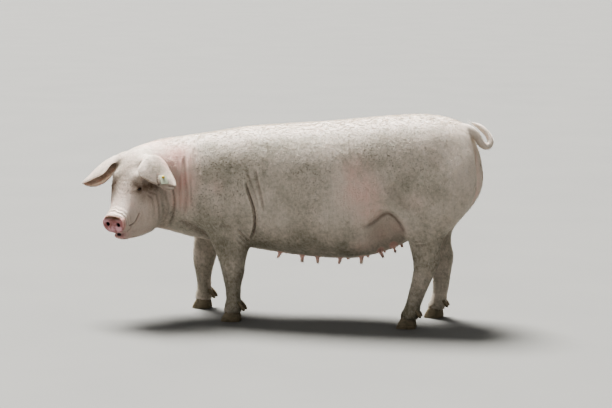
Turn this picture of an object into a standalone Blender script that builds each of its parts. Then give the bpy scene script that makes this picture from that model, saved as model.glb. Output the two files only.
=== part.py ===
"""A domestic sow, standing, life size: the whole animal as solids.

The sow faces -X with her head turned to her own left, which is -Y. The floor is z = 0. Sizes are in
metres. The flesh is lofted and fused as one body first, then parted into named pieces by thin cuts.
"""

import math

import bmesh
import bpy
import numpy as np
from mathutils import Matrix, Vector
from mathutils.bvhtree import BVHTree

# Gap left between pieces, fineness of the fused skin, and triangles kept on the body and on the head
GAP = 0.0003
MERGE = 0.00003
VOXEL = 0.006
RING_SIDES = 36
ROWS_BETWEEN = 6
BODY_TRIANGLES = 4500
HEAD_TRIANGLES = 11600
ORIGIN_SHIFT = Vector((0.085, 0.056, 0.0))

# Trunk stations: x, back, belly, half width, widest height, squareness
TRUNK = [
    (-0.52, 0.806, 0.352, 0.140, 0.59, 2.2),
    (-0.42, 0.824, 0.332, 0.170, 0.57, 2.2),
    (-0.28, 0.849, 0.316, 0.190, 0.56, 2.3),
    (-0.10, 0.866, 0.293, 0.208, 0.54, 2.3),
    (0.08, 0.880, 0.279, 0.222, 0.53, 2.3),
    (0.24, 0.897, 0.283, 0.220, 0.54, 2.3),
    (0.38, 0.912, 0.322, 0.205, 0.57, 2.3),
    (0.50, 0.920, 0.385, 0.196, 0.60, 2.3),
    (0.60, 0.914, 0.450, 0.180, 0.64, 2.3),
    (0.67, 0.894, 0.520, 0.155, 0.68, 2.2),
    (0.725, 0.858, 0.590, 0.118, 0.71, 2.2),
    (0.755, 0.800, 0.660, 0.065, 0.72, 2.1),
]

# Neck stations: x, y, turn in degrees, crest, throat, half width, squareness
NECK = [
    (-0.34, 0.000, 0, 0.838, 0.330, 0.168, 2.2),
    (-0.44, 0.000, 5, 0.822, 0.338, 0.168, 2.2),
    (-0.53, -0.003, 15, 0.806, 0.350, 0.165, 2.2),
    (-0.61, -0.020, 30, 0.795, 0.372, 0.158, 2.2),
    (-0.665, -0.056, 46, 0.783, 0.390, 0.150, 2.2),
    (-0.700, -0.104, 60, 0.772, 0.404, 0.138, 2.2),
]

# The head's own frame: ahead, left and up from a point between the roots of the ears
POLL = Vector((-0.737, -0.190, 0.7305))
HEAD_TURN = math.radians(67)

# Head stations: brow line ahead and up, jaw line ahead and up, half width, squareness
HEAD = [
    (-0.130, 0.040, -0.190, -0.318, 0.128, 2.2),
    (-0.060, 0.034, -0.120, -0.334, 0.131, 2.3),
    (-0.005, 0.012, -0.050, -0.344, 0.123, 2.3),
    (0.034, -0.038, 0.005, -0.346, 0.106, 2.3),
    (0.056, -0.100, 0.038, -0.340, 0.088, 2.3),
    (0.076, -0.160, 0.064, -0.334, 0.073, 2.2),
    (0.100, -0.207, 0.090, -0.328, 0.065, 2.2),
    (0.130, -0.238, 0.114, -0.326, 0.062, 2.2),
    (0.149, -0.249, 0.132, -0.335, 0.066, 2.1),
]

# Lower jaw stations, as the head's
JAW = [
    (-0.040, -0.200, -0.070, -0.350, 0.100, 2.3),
    (0.020, -0.280, 0.000, -0.360, 0.074, 2.3),
    (0.062, -0.312, 0.052, -0.364, 0.050, 2.3),
    (0.092, -0.334, 0.086, -0.364, 0.038, 2.3),
    (0.105, -0.343, 0.102, -0.357, 0.026, 2.0),
]

# Rounded masses of the head: middle in the head's frame, and half sizes ahead, left and up
CHEEKS = ((-0.045, 0.062, -0.215), (0.100, 0.064, 0.108))
BROWS = ((0.020, 0.056, -0.088), (0.040, 0.036, 0.034))
EAR_BASES = ((-0.020, 0.070, -0.022), (0.048, 0.034, 0.034))

# Ears: front edge, spine and back edge, from the root sunk in the head to the tip, in the head's frame
EAR_THICKNESS = 0.0075
EAR_STATIONS_BETWEEN = 2
EAR_ACROSS = 9
LEFT_EAR = [
    ((0.010, 0.046, -0.040), (-0.016, 0.056, -0.036), (-0.044, 0.062, -0.042)),
    ((0.042, 0.084, -0.022), (-0.006, 0.092, 0.006), (-0.054, 0.106, -0.010)),
    ((0.076, 0.094, -0.036), (0.004, 0.122, -0.004), (-0.066, 0.136, -0.030)),
    ((0.098, 0.110, -0.062), (0.012, 0.150, -0.034), (-0.064, 0.158, -0.060)),
    ((0.088, 0.143, -0.090), (0.014, 0.176, -0.068), (-0.050, 0.188, -0.082)),
    ((0.060, 0.178, -0.112), (0.014, 0.202, -0.096), (-0.034, 0.214, -0.100)),
    ((0.036, 0.196, -0.134), (0.006, 0.220, -0.120), (-0.020, 0.230, -0.118)),
    ((0.016, 0.214, -0.140), (0.002, 0.224, -0.134), (-0.010, 0.232, -0.130)),
]
RIGHT_EAR = [
    ((0.010, 0.044, -0.042), (-0.016, 0.056, -0.038), (-0.044, 0.062, -0.044)),
    ((0.044, 0.074, -0.038), (-0.006, 0.094, -0.008), (-0.054, 0.104, -0.022)),
    ((0.068, 0.092, -0.072), (-0.004, 0.132, -0.022), (-0.062, 0.130, -0.064)),
    ((0.070, 0.130, -0.096), (-0.004, 0.166, -0.040), (-0.060, 0.164, -0.106)),
    ((0.062, 0.178, -0.114), (0.000, 0.202, -0.070), (-0.050, 0.200, -0.142)),
    ((0.050, 0.218, -0.130), (0.008, 0.230, -0.098), (-0.030, 0.234, -0.160)),
    ((0.042, 0.248, -0.140), (0.020, 0.256, -0.122), (-0.004, 0.258, -0.160)),
    ((0.034, 0.268, -0.146), (0.028, 0.272, -0.140), (0.016, 0.272, -0.150)),
]

# Eyes: where to look for the skin, in the head's frame, the sizes of ball, lids and opening, the way
# the eye looks and how its corners slant
EYE_AIM = (0.050, 0.110, -0.138)
EYE_RADIUS = 0.0125
EYE_DEPTH = 0.0085
LID = 0.0030
EYE_OPENING = (0.0105, 0.0046)
EYE_LOOKS = (0.55, 0.80, 0.12)
EYE_SLANT = 0.25

# Nostrils: how far out from the middle of the disc, and the sizes of each hole
NOSTRIL_OUT = 0.029
NOSTRIL_RADII = (0.0108, 0.0084)
NOSTRIL_DEPTH = 0.020
DISC_MIDDLE = (0.141, 0.0, -0.290)
DISC_NORMAL = (0.98, -0.20)

# Line of the mouth, half of it, from under the disc to the corner, in the head's frame
MOUTH = [
    (0.124, 0.000, -0.338),
    (0.118, 0.024, -0.335),
    (0.104, 0.044, -0.320),
    (0.086, 0.059, -0.302),
    (0.064, 0.070, -0.284),
    (0.046, 0.077, -0.268),
]
MOUTH_WIDTH = 0.0040
MOUTH_DEPTH = 0.014

# Leg stations: height, x, distance out from the middle, half length fore and aft, half width
FORELEG = [
    (0.700, -0.330, 0.095, 0.100, 0.050),
    (0.600, -0.330, 0.108, 0.140, 0.073),
    (0.500, -0.325, 0.120, 0.138, 0.074),
    (0.420, -0.316, 0.130, 0.116, 0.065),
    (0.354, -0.310, 0.134, 0.094, 0.055),
    (0.300, -0.305, 0.135, 0.073, 0.047),
    (0.262, -0.303, 0.135, 0.062, 0.044),
    (0.216, -0.299, 0.135, 0.052, 0.043),
    (0.154, -0.300, 0.135, 0.037, 0.035),
    (0.108, -0.298, 0.135, 0.033, 0.034),
    (0.079, -0.297, 0.136, 0.037, 0.039),
    (0.055, -0.300, 0.137, 0.040, 0.041),
    (0.036, -0.303, 0.137, 0.037, 0.037),
]
HINDLEG = [
    (0.850, 0.560, 0.060, 0.110, 0.045),
    (0.780, 0.575, 0.080, 0.172, 0.072),
    (0.680, 0.575, 0.102, 0.195, 0.092),
    (0.600, 0.576, 0.114, 0.194, 0.100),
    (0.520, 0.570, 0.124, 0.168, 0.092),
    (0.450, 0.562, 0.131, 0.118, 0.077),
    (0.390, 0.553, 0.133, 0.080, 0.061),
    (0.325, 0.555, 0.133, 0.064, 0.048),
    (0.288, 0.560, 0.133, 0.061, 0.044),
    (0.256, 0.553, 0.133, 0.053, 0.041),
    (0.190, 0.531, 0.133, 0.042, 0.036),
    (0.145, 0.516, 0.133, 0.038, 0.034),
    (0.107, 0.504, 0.133, 0.035, 0.034),
    (0.078, 0.495, 0.134, 0.038, 0.039),
    (0.055, 0.488, 0.135, 0.040, 0.041),
    (0.036, 0.484, 0.135, 0.037, 0.037),
]
# How far the right foot stands ahead of or behind the left, and the heights between which that builds up
RIGHT_FORE_STRIDE = (-0.205, 0.62, 0.20)
RIGHT_HIND_STRIDE = (0.080, 0.42, 0.06)
RIGHT_ELBOW_FORWARD = -0.055
FORE_FOOT = (-0.300, 0.137)
HIND_FOOT = (0.482, 0.135)

# Claws: height, front and back of the outline ahead of the foot's middle, half width; then how far each
# stands out from the foot's middle, how much narrower its toe is, and how far the toe turns outward
CLAW = [
    (0.000, 0.050, -0.032, 0.0160),
    (0.008, 0.0495, -0.034, 0.0170),
    (0.024, 0.042, -0.032, 0.0170),
    (0.042, 0.031, -0.026, 0.0155),
    (0.056, 0.020, -0.012, 0.0110),
]
CLAW_OUT = 0.0188
CLAW_PINCH = 0.30
CLAW_SPLAY = 0.002
CLAW_SIDES = 16
# Dewclaws: height, how far behind the foot's middle, radius
DEWCLAW = [
    (0.050, 0.054, 0.0040),
    (0.055, 0.052, 0.0080),
    (0.068, 0.045, 0.0095),
    (0.084, 0.034, 0.0080),
    (0.092, 0.028, 0.0050),
]
DEWCLAW_OUT = 0.0210

# Where the head, the neck and the legs are parted from the trunk
BOX = Vector((0.40, 0.60, 0.70))
HEAD_CUT = (-0.125, 0.0, -0.15)
NECK_CUT = (-0.47, 0.0, 0.62)
NECK_TILT = math.radians(16)
LEG_BOX = (0.05, 0.30)
LEG_CUTS = [
    ("foreleg_left", -1, (-0.460, -0.196), 0.325, 0.420, 0.235),
    ("foreleg_right", 1, (-0.600, -0.275), 0.325, 0.420, 0.235),
    ("hindleg_left", -1, (0.428, 0.760), 0.410, 0.490, 0.245),
    ("hindleg_right", 1, (0.428, 0.760), 0.410, 0.490, 0.245),
]

# Tail: middle line and radius
TAIL = [
    ((0.640, 0.000, 0.846), 0.026),
    ((0.684, 0.000, 0.862), 0.026),
    ((0.718, 0.000, 0.860), 0.024),
    ((0.744, 0.000, 0.838), 0.022),
    ((0.762, 0.002, 0.811), 0.020),
    ((0.780, 0.008, 0.789), 0.018),
    ((0.800, 0.018, 0.783), 0.0165),
    ((0.810, 0.030, 0.800), 0.0158),
    ((0.800, 0.040, 0.826), 0.0150),
    ((0.778, 0.046, 0.850), 0.0145),
    ((0.752, 0.050, 0.868), 0.0140),
    ((0.728, 0.050, 0.878), 0.0125),
    ((0.714, 0.050, 0.880), 0.0075),
]
TAIL_SIDES = 12
TAIL_ROWS = 2
TAIL_PARTS = (("tail_root", 0, 4), ("tail_curl", 4, 8), ("tail_tip", 8, 12))

# Teats: places along each side of the belly, and the shape of one
NEAR_TEATS = (-0.102, -0.003, 0.066, 0.168, 0.262, 0.346, 0.404)
FAR_TEATS = (-0.118, -0.022, 0.094, 0.176, 0.256, 0.334, 0.412)
TEAT_OUT = 0.068
TEAT = [
    (-0.006, 0.0130), (0.003, 0.0112), (0.013, 0.0086),
    (0.023, 0.0084), (0.029, 0.0066), (0.032, 0.0030),
]
TEAT_SIDES = 8

# Ear tag: where it sits, in the head's frame, and its sizes
TAG_AT = (0.024, 0.188, -0.084)
TAG_PLATE = (0.034, 0.044, 0.0022)
TAG_STUD = (0.0065, 0.0060)
TAG_CLEAR = 0.0040


def clear_scene():
    for thing in list(bpy.data.objects):
        bpy.data.objects.remove(thing, do_unlink=True)


def smooth_rows(rows, between=ROWS_BETWEEN):
    """The rows of a table with more rows between them, on a smooth curve through them all."""
    rows = np.array(rows, float)
    ends = np.concatenate([[2 * rows[0] - rows[1]], rows, [2 * rows[-1] - rows[-2]]])
    found = []
    for before, start, stop, after in zip(ends, ends[1:], ends[2:], ends[3:]):
        for step in range(between):
            t = step / between
            found.append(
                start
                + 0.5 * t * (stop - before)
                + t * t * (before - 2.5 * start + 2 * stop - 0.5 * after)
                + t**3 * 0.5 * (after - 3 * stop + 3 * start - before)
            )
    found.append(rows[-1])
    return found


def object_of(name, bm):
    mesh = bpy.data.meshes.new(name)
    bm.to_mesh(mesh)
    bm.free()
    made = bpy.data.objects.new(name, mesh)
    bpy.context.scene.collection.objects.link(made)
    return made


def settle(obj):
    """Applies an object's modifiers to its mesh."""
    bpy.context.view_layer.update()
    graph = bpy.context.evaluated_depsgraph_get()
    mesh = bpy.data.meshes.new_from_object(obj.evaluated_get(graph))
    obj.modifiers.clear()
    obj.data = mesh


def through_rings(name, rings):
    """A closed solid through rings of points, all of one count."""
    bm = bmesh.new()
    loops = []
    for number, points in enumerate(rings):
        capped = number in (0, len(rings) - 1)
        made = bmesh.ops.create_circle(bm, cap_ends=capped, segments=len(points), radius=1)
        for vert, point in zip(made["verts"], points):
            vert.co = point
        loops.append(list({edge for vert in made["verts"] for edge in vert.link_edges}))
    for first, second in zip(loops, loops[1:]):
        bmesh.ops.bridge_loops(bm, edges=first + second)
    bm.normal_update()
    bmesh.ops.recalc_face_normals(bm, faces=bm.faces)
    return object_of(name, bm)


def rounded_ring(centre, side, up, across, above, below, squareness, sides=RING_SIDES):
    """Points of a rounded ring, with its own heights above and below its centre."""
    power = 2 / squareness
    points = []
    for number in range(sides):
        angle = math.tau * number / sides
        c, s = math.cos(angle), math.sin(angle)
        x = across * math.copysign(abs(c) ** power, c)
        y = (above if s > 0 else below) * math.copysign(abs(s) ** power, s)
        points.append(centre + side * x + up * y)
    return points


def ball(name, centre, axes, segments=32):
    """An egg about a centre, with its three half axes as vectors."""
    bm = bmesh.new()
    bmesh.ops.create_uvsphere(bm, u_segments=segments, v_segments=segments // 2, radius=1)
    for vert in bm.verts:
        vert.co = centre + axes[0] * vert.co.x + axes[1] * vert.co.y + axes[2] * vert.co.z
    bm.normal_update()
    bmesh.ops.recalc_face_normals(bm, faces=bm.faces)
    return object_of(name, bm)


def forward_left(turn):
    """Level unit vectors ahead of and to the left of a sow that has turned by this angle."""
    return (
        Vector((-math.cos(turn), -math.sin(turn), 0)),
        Vector((math.sin(turn), -math.cos(turn), 0)),
    )


UP = Vector((0, 0, 1))
ALONG = Vector((1, 0, 0))
ACROSS = Vector((0, 1, 0))
AHEAD, LEFTWARD = forward_left(HEAD_TURN)


def in_head(ahead, left, up):
    """A point of the head's own frame, in the world."""
    return POLL + AHEAD * ahead + LEFTWARD * left + UP * up


def trunk():
    rings = []
    for x, back, belly, half, widest, squareness in smooth_rows(TRUNK):
        centre = Vector((x, 0, widest))
        above, below = back - widest, widest - belly
        rings.append(rounded_ring(centre, -ACROSS, UP, half, above, below, squareness))
    return through_rings("trunk", rings)


def neck():
    rings = []
    for x, y, turn, crest, throat, half, squareness in smooth_rows(NECK):
        middle = (crest + throat) / 2
        side = forward_left(math.radians(turn))[1]
        centre = Vector((x, y, middle))
        rings.append(rounded_ring(centre, side, UP, half, crest - middle, middle - throat, squareness))
    return through_rings("neck_mass", rings)


def face(name, table):
    rings = []
    for top_ahead, top_up, low_ahead, low_up, half, squareness in smooth_rows(table):
        top, low = in_head(top_ahead, 0, top_up), in_head(low_ahead, 0, low_up)
        height = (top - low).length / 2
        up = (top - low).normalized()
        rings.append(rounded_ring((top + low) / 2, LEFTWARD, up, half, height, height, squareness))
    return through_rings(name, rings)


def leg(name, table, side, stride):
    reach, start, full = stride
    rings = []
    for z, x, out, length, width in smooth_rows(table):
        share = min(max((start - z) / (start - full), 0), 1)
        shift = reach * share * share * (3 - 2 * share)
        centre = Vector((x + shift, side * out, z))
        rings.append(rounded_ring(centre, ALONG, ACROSS, length, width, width, 2.2))
    return through_rings(name, rings)


def paired(name, place, radii):
    """A rounded mass on each side of the head."""
    ahead, left, up = place
    axes = (AHEAD * radii[0], LEFTWARD * radii[1], UP * radii[2])
    return [ball(name, in_head(ahead, side * left, up), axes) for side in (-1, 1)]


def flesh_masses():
    """Every overlapping mass that fuses into the body."""
    still = (0, 1, 0)
    masses = [trunk(), neck(), face("head_mass", HEAD), face("jaw_mass", JAW)]
    masses.append(leg("foreleg", FORELEG, -1, still))
    masses.append(leg("foreleg", FORELEG, 1, RIGHT_FORE_STRIDE))
    masses.append(leg("hindleg", HINDLEG, -1, still))
    masses.append(leg("hindleg", HINDLEG, 1, RIGHT_HIND_STRIDE))
    masses += paired("cheek", *CHEEKS) + paired("brow", *BROWS) + paired("ear_base", *EAR_BASES)
    return masses


def joined(name, things):
    """One object of many, their meshes side by side."""
    bm = bmesh.new()
    for thing in things:
        bm.from_mesh(thing.data)
        bpy.data.objects.remove(thing)
    return object_of(name, bm)


def fuse(name, masses):
    """One closed skin round overlapping masses."""
    made = joined(name, masses)
    remesh = made.modifiers.new("skin", "REMESH")
    remesh.mode = "VOXEL"
    remesh.voxel_size = VOXEL
    settle(made)
    return made


def points_of(obj):
    found = np.empty(len(obj.data.vertices) * 3)
    obj.data.vertices.foreach_get("co", found)
    return found.reshape(-1, 3)


def normals_of(obj):
    found = np.empty(len(obj.data.vertices) * 3)
    obj.data.vertex_normals.foreach_get("vector", found)
    return found.reshape(-1, 3)


def set_points(obj, points):
    obj.data.vertices.foreach_set("co", points.ravel())
    obj.data.update()


def to_head(points):
    """Points of the world in the head's own frame: ahead, left and up."""
    frame = np.array([AHEAD, LEFTWARD, UP])
    return (points - np.array(POLL)) @ frame.T


def soft_step(value, low, high):
    t = np.clip((value - low) / (high - low), 0, 1)
    return t * t * (3 - 2 * t)


def relax(obj, rounds, where):
    """Smooths a mesh by rounds of averaging, as strongly as the weights say."""
    group = obj.vertex_groups.new(name="where")
    steps = np.round(np.clip(where, 0, 1), 2)
    for value in np.unique(steps[steps > 0]):
        group.add([int(n) for n in np.nonzero(steps == value)[0]], float(value), "REPLACE")
    smooth = obj.modifiers.new("smooth", "SMOOTH")
    smooth.factor = 0.5
    smooth.iterations = rounds
    smooth.vertex_group = "where"
    settle(obj)
    obj.vertex_groups.clear()


def along(points, path):
    """Distance of each point from a bent line, and how far along the line it lies, from 0 to 1."""
    path = [np.array(stop, float) for stop in path]
    lengths = [np.linalg.norm(b - a) for a, b in zip(path, path[1:])]
    total = sum(lengths)
    nearest = np.full(len(points), 1e9)
    place = np.zeros(len(points))
    done = 0.0
    for a, b, length in zip(path, path[1:], lengths):
        t = np.clip((points - a) @ (b - a) / length**2, 0, 1)
        gap = np.linalg.norm(points - a - t[:, None] * (b - a), axis=1)
        closer = gap < nearest
        nearest = np.where(closer, gap, nearest)
        place = np.where(closer, (done + t * length) / total, place)
        done += length
    return nearest, place


def crease(points, normals, path, width, depth):
    """How far each point sinks into a fold that follows a bent line and fades at its ends."""
    gap, place = along(points, smooth_rows(path))
    fade = soft_step(place, 0, 0.25) * soft_step(1 - place, 0, 0.25)
    return -normals * (depth * fade * np.exp(-((gap / width) ** 2)))[:, None]


def swell(points, normals, centre, radii, height):
    """How far each point rises on a soft mound."""
    reach = (((points - np.array(centre)) / np.array(radii)) ** 2).sum(axis=1)
    return normals * (height * np.exp(-reach))[:, None]


def make_body():
    """The fused flesh of the whole sow, smoothed, with its hollows and folds worked in."""
    body = fuse("body", flesh_masses())
    points = points_of(body)
    local = to_head(points)
    head = soft_step(local[:, 0], -0.12, 0.02)
    low = soft_step(points[:, 2], 0.50, 0.30)
    relax(body, 70, (1 - head) * (1 - low))
    relax(body, 14, np.ones(len(points)))
    points, normals = points_of(body), normals_of(body)
    # cleft between the buttocks, below the tail
    moved = swell(points, normals, (0.760, 0.0, 0.750), (0.060, 0.030, 0.110), -0.040)
    for side in (-1, 1):
        # hollow of the flank, in front of the thigh, under the fold that joins it to the belly
        moved += swell(points, normals, (0.375, side * 0.21, 0.395), (0.060, 0.10, 0.080), -0.028)
        arch = [(0.300, side * 0.21, 0.450), (0.350, side * 0.21, 0.492), (0.392, side * 0.20, 0.500)]
        arch += [(0.420, side * 0.20, 0.478), (0.436, side * 0.20, 0.440), (0.440, side * 0.20, 0.400)]
        moved += crease(points, normals, arch, 0.016, 0.010)
        # fold behind the elbow
        forward = RIGHT_ELBOW_FORWARD if side > 0 else 0
        back = [(-0.223, 0.619), (-0.201, 0.558), (-0.182, 0.490), (-0.179, 0.440), (-0.190, 0.378)]
        path = [(x + forward, side * 0.20, z) for x, z in back]
        moved += crease(points, normals, path, 0.014, 0.010)
    set_points(body, points + moved)
    relax(body, 3, np.ones(len(points)))
    return body


def thinned(obj, name, triangles):
    """A copy with fewer triangles."""
    made = bpy.data.objects.new(name, obj.data.copy())
    bpy.context.scene.collection.objects.link(made)
    made.modifiers.new("triangles", "TRIANGULATE")
    settle(made)
    fewer = made.modifiers.new("fewer", "DECIMATE")
    fewer.ratio = triangles / len(made.data.polygons)
    settle(made)
    return made


def combine(obj, other, operation):
    """Cuts, keeps or adds the shape of another object, which is then removed."""
    change = obj.modifiers.new("combine", "BOOLEAN")
    change.operation = operation
    change.solver = "EXACT"
    change.object = other
    settle(obj)
    bpy.data.objects.remove(other)
    tidy(obj)


def tidy(obj):
    """Closes up hair-thin faces left by a cut and keeps only the largest closed surface."""
    bm = bmesh.new()
    bm.from_mesh(obj.data)
    bmesh.ops.remove_doubles(bm, verts=bm.verts, dist=MERGE)
    bmesh.ops.dissolve_degenerate(bm, edges=bm.edges, dist=MERGE / 2)
    bmesh.ops.triangulate(bm, faces=[face for face in bm.faces if len(face.verts) > 4])
    left = set(bm.verts)
    groups = []
    while left:
        group = []
        edge_of_group = [left.pop()]
        while edge_of_group:
            vert = edge_of_group.pop()
            group.append(vert)
            for edge in vert.link_edges:
                other = edge.other_vert(vert)
                if other in left:
                    left.discard(other)
                    edge_of_group.append(other)
        groups.append(group)
    groups.sort(key=len)
    for group in groups[:-1]:
        bmesh.ops.delete(bm, geom=group, context="VERTS")
    bm.to_mesh(obj.data)
    bm.free()


def grown(obj, by=GAP):
    """A copy a little larger all round."""
    made = bpy.data.objects.new(obj.name + "_grown", obj.data.copy())
    bpy.context.scene.collection.objects.link(made)
    set_points(made, points_of(made) + normals_of(made) * by * 1.3)
    return made


def block(name, centre, half, turn, by=0.0):
    """A box with its own half sizes, turned, and grown all round by a margin."""
    bm = bmesh.new()
    bmesh.ops.create_cube(bm, size=2)
    sizes = Matrix.Diagonal((half[0] + by, half[1] + by, half[2] + by, 1))
    bmesh.ops.transform(bm, matrix=Matrix.Translation(centre) @ turn.to_4x4() @ sizes, verts=bm.verts)
    return object_of(name, bm)


def wedge(name, front, back, side, inner, outer, by=0.0):
    """A box round one leg, from below the floor up to a top that rises outward."""
    bm = bmesh.new()
    bmesh.ops.create_cube(bm, size=2)
    for vert in bm.verts:
        out = vert.co.y > 0
        top = (outer if out else inner) + by
        vert.co.x = back + by if vert.co.x > 0 else front - by
        vert.co.z = top if vert.co.z > 0 else -0.1
        vert.co.y = side * (LEG_BOX[1] + by if out else LEG_BOX[0] - by)
    bm.normal_update()
    bmesh.ops.recalc_face_normals(bm, faces=bm.faces)
    return object_of(name, bm)


def part_off(obj, name, shape, sizes):
    """Parts a named piece from an object: what lies within a box, with a thin gap round it."""
    piece = bpy.data.objects.new(name, obj.data.copy())
    bpy.context.scene.collection.objects.link(piece)
    combine(piece, shape("inside", *sizes), "INTERSECT")
    combine(obj, shape("outside", *sizes, GAP), "DIFFERENCE")
    return piece


def facing(normal, about=UP):
    """A turn whose X runs along a direction."""
    x = normal.normalized()
    y = about.cross(x).normalized()
    return Matrix((x, y, x.cross(y))).transposed()


def ear(name, side, stations):
    """A cupped, tapering leaf of skin and gristle."""
    rows = [[value for point in station for value in point] for station in stations]
    rings = []
    spans = smooth_rows(rows, EAR_STATIONS_BETWEEN)
    for number, row in enumerate(spans):
        front, spine, back = (in_head(a, side * l, u) for a, l, u in (row[0:3], row[3:6], row[6:9]))
        nearby = spans[max(number - 1, 0)], spans[min(number + 1, len(spans) - 1)]
        lengthwise = in_head(nearby[1][3], side * nearby[1][4], nearby[1][5])
        lengthwise -= in_head(nearby[0][3], side * nearby[0][4], nearby[0][5])
        outer, inner = [], []
        for step in range(EAR_ACROSS):
            s = 2 * step / (EAR_ACROSS - 1) - 1
            point = front * (s * (s - 1) / 2) + spine * (1 - s * s) + back * (s * (s + 1) / 2)
            across = front * (s - 0.5) - spine * (2 * s) + back * (s + 0.5)
            inward = lengthwise.cross(across).normalized() * -side
            thick = EAR_THICKNESS * (0.35 + 0.65 * (1 - s**4)) * (1 - 0.45 * number / (len(spans) - 1))
            outer.append(point - inward * thick * 0.5)
            inner.append(point + inward * thick * 0.5)
        rings.append(outer + inner[::-1])
    return through_rings(name, rings)


def skin_point(tree, aim, toward):
    """Where a line from an aim point meets the skin, and the way the skin faces there."""
    where, normal, _, _ = tree.ray_cast(aim, (toward - aim).normalized())
    return where, normal


def eye_parts(head, tree, side):
    """Works one eye into the head and returns its ball."""
    aim = in_head(EYE_AIM[0] + 0.03, side * EYE_AIM[1], EYE_AIM[2])
    where = skin_point(tree, aim, in_head(-0.02, 0, EYE_AIM[2]))[0]
    ahead, out, up = EYE_LOOKS
    normal = (AHEAD * ahead + LEFTWARD * side * out + UP * up).normalized()
    middle = where - normal * EYE_DEPTH
    along_lid = UP.cross(normal).normalized()
    across_lid = normal.cross(along_lid)
    round_axes = (along_lid, across_lid, normal)
    combine(head, ball("lids", middle, [axis * (EYE_RADIUS + LID) for axis in round_axes], 20), "UNION")
    name = "eye_left" if side > 0 else "eye_right"
    made = ball(name, middle, [axis * EYE_RADIUS for axis in round_axes], 16)
    socket = grown(made)
    slant = EYE_SLANT * side
    rings = []
    for depth in (0.004, EYE_RADIUS + 0.012):
        ring = []
        for number in range(12):
            angle = math.tau * number / 12
            x = EYE_OPENING[0] * math.cos(angle)
            y = EYE_OPENING[1] * math.sin(angle) * (1.15 if math.sin(angle) > 0 else 0.85)
            ring.append(middle + normal * depth + along_lid * x + across_lid * (y + slant * x))
        rings.append(ring)
    combine(socket, through_rings("opening", rings), "UNION")
    combine(head, socket, "DIFFERENCE")
    return made


def nostril(side):
    normal = AHEAD * DISC_NORMAL[0] + UP * DISC_NORMAL[1]
    across = LEFTWARD
    up = normal.cross(across)
    middle = in_head(*DISC_MIDDLE) + across * side * NOSTRIL_OUT
    axes = (across * NOSTRIL_RADII[0], up * NOSTRIL_RADII[1], normal * NOSTRIL_DEPTH)
    return ball("nostril", middle, axes, 14)


def mouth_cut():
    """A thin curved wedge that opens the line between the lips."""
    half = smooth_rows(MOUTH, 3)
    line = [(a, -l, u) for a, l, u in half[:0:-1]] + [tuple(row) for row in half]
    rings = []
    for number, (a, l, u) in enumerate(line):
        before = in_head(*line[max(number - 1, 0)])
        after = in_head(*line[min(number + 1, len(line) - 1)])
        run = (after - before).normalized()
        inward = (in_head(-0.02, 0, u + 0.02) - in_head(a, l, u)).normalized()
        inward = (inward - run * inward.dot(run)).normalized()
        lift = run.cross(inward)
        fade = math.cos(math.pi / 2 * abs(2 * number / (len(line) - 1) - 1)) ** 0.5
        wide = MOUTH_WIDTH * (0.35 + 0.65 * fade)
        point = in_head(a, l, u)
        deep = MOUTH_DEPTH * (0.45 + 0.55 * fade)
        rings.append([
            point - inward * 0.030 - lift * wide,
            point - inward * 0.030 + lift * wide,
            point + inward * deep + lift * wide * 0.15,
            point + inward * deep - lift * wide * 0.15,
        ])
    return through_rings("mouth_cut", rings)


def claw(name, x, y, side):
    """One main claw, its flat sole on the floor."""
    rings = []
    for height, front, back, half in CLAW:
        ring = []
        middle, reach = (front + back) / 2, (front - back) / 2
        for number in range(CLAW_SIDES):
            angle = math.tau * number / CLAW_SIDES
            c, s = math.cos(angle), math.sin(angle)
            pinch = 1 - CLAW_PINCH * max(c, 0) ** 2
            across = y + side * CLAW_SPLAY * c + half * pinch * s
            ring.append(Vector((x - middle - reach * c, across, height)))
        rings.append(ring)
    return through_rings(name, rings)


def dewclaw(name, x, y):
    rings = []
    for height, back, radius in DEWCLAW:
        centre = Vector((x + back, y, height))
        rings.append(rounded_ring(centre, ALONG, ACROSS, radius, radius, radius, 2, 8))
    return through_rings(name, rings)


def feet():
    """Sixteen claws: for each foot, whose it is and its four claws."""
    found = []
    for place, (x, out), stride in (
        ("fore", FORE_FOOT, RIGHT_FORE_STRIDE[0]),
        ("hind", HIND_FOOT, RIGHT_HIND_STRIDE[0]),
    ):
        for hand, side in (("left", -1), ("right", 1)):
            at = x + (stride if side > 0 else 0)
            y = side * out
            claws = []
            for where, way in (("inner", -side), ("outer", side)):
                claws.append(claw(f"claw_{place}_{hand}_{where}", at, y + way * CLAW_OUT, way))
                claws.append(dewclaw(f"dewclaw_{place}_{hand}_{where}", at, y + way * DEWCLAW_OUT))
            found.append((f"{place}leg_{hand}", claws))
    return found


def tail_part(name, first, last):
    """One length of the tail, its ends a thin gap from the next."""
    rows = smooth_rows([list(at) + [radius] for at, radius in TAIL], TAIL_ROWS)
    rings = []
    for number in range(first * TAIL_ROWS, last * TAIL_ROWS + 1):
        row = rows[number]
        before, after = rows[max(number - 1, 0)], rows[min(number + 1, len(rows) - 1)]
        run = (Vector(after[:3]) - Vector(before[:3])).normalized()
        side = run.cross(ACROSS).normalized()
        centre = Vector(row[:3]) + (run * GAP if number == first * TAIL_ROWS else Vector())
        rings.append(rounded_ring(centre, side, run.cross(side), row[3], row[3], row[3], 2, TAIL_SIDES))
    return through_rings(name, rings)


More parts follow.
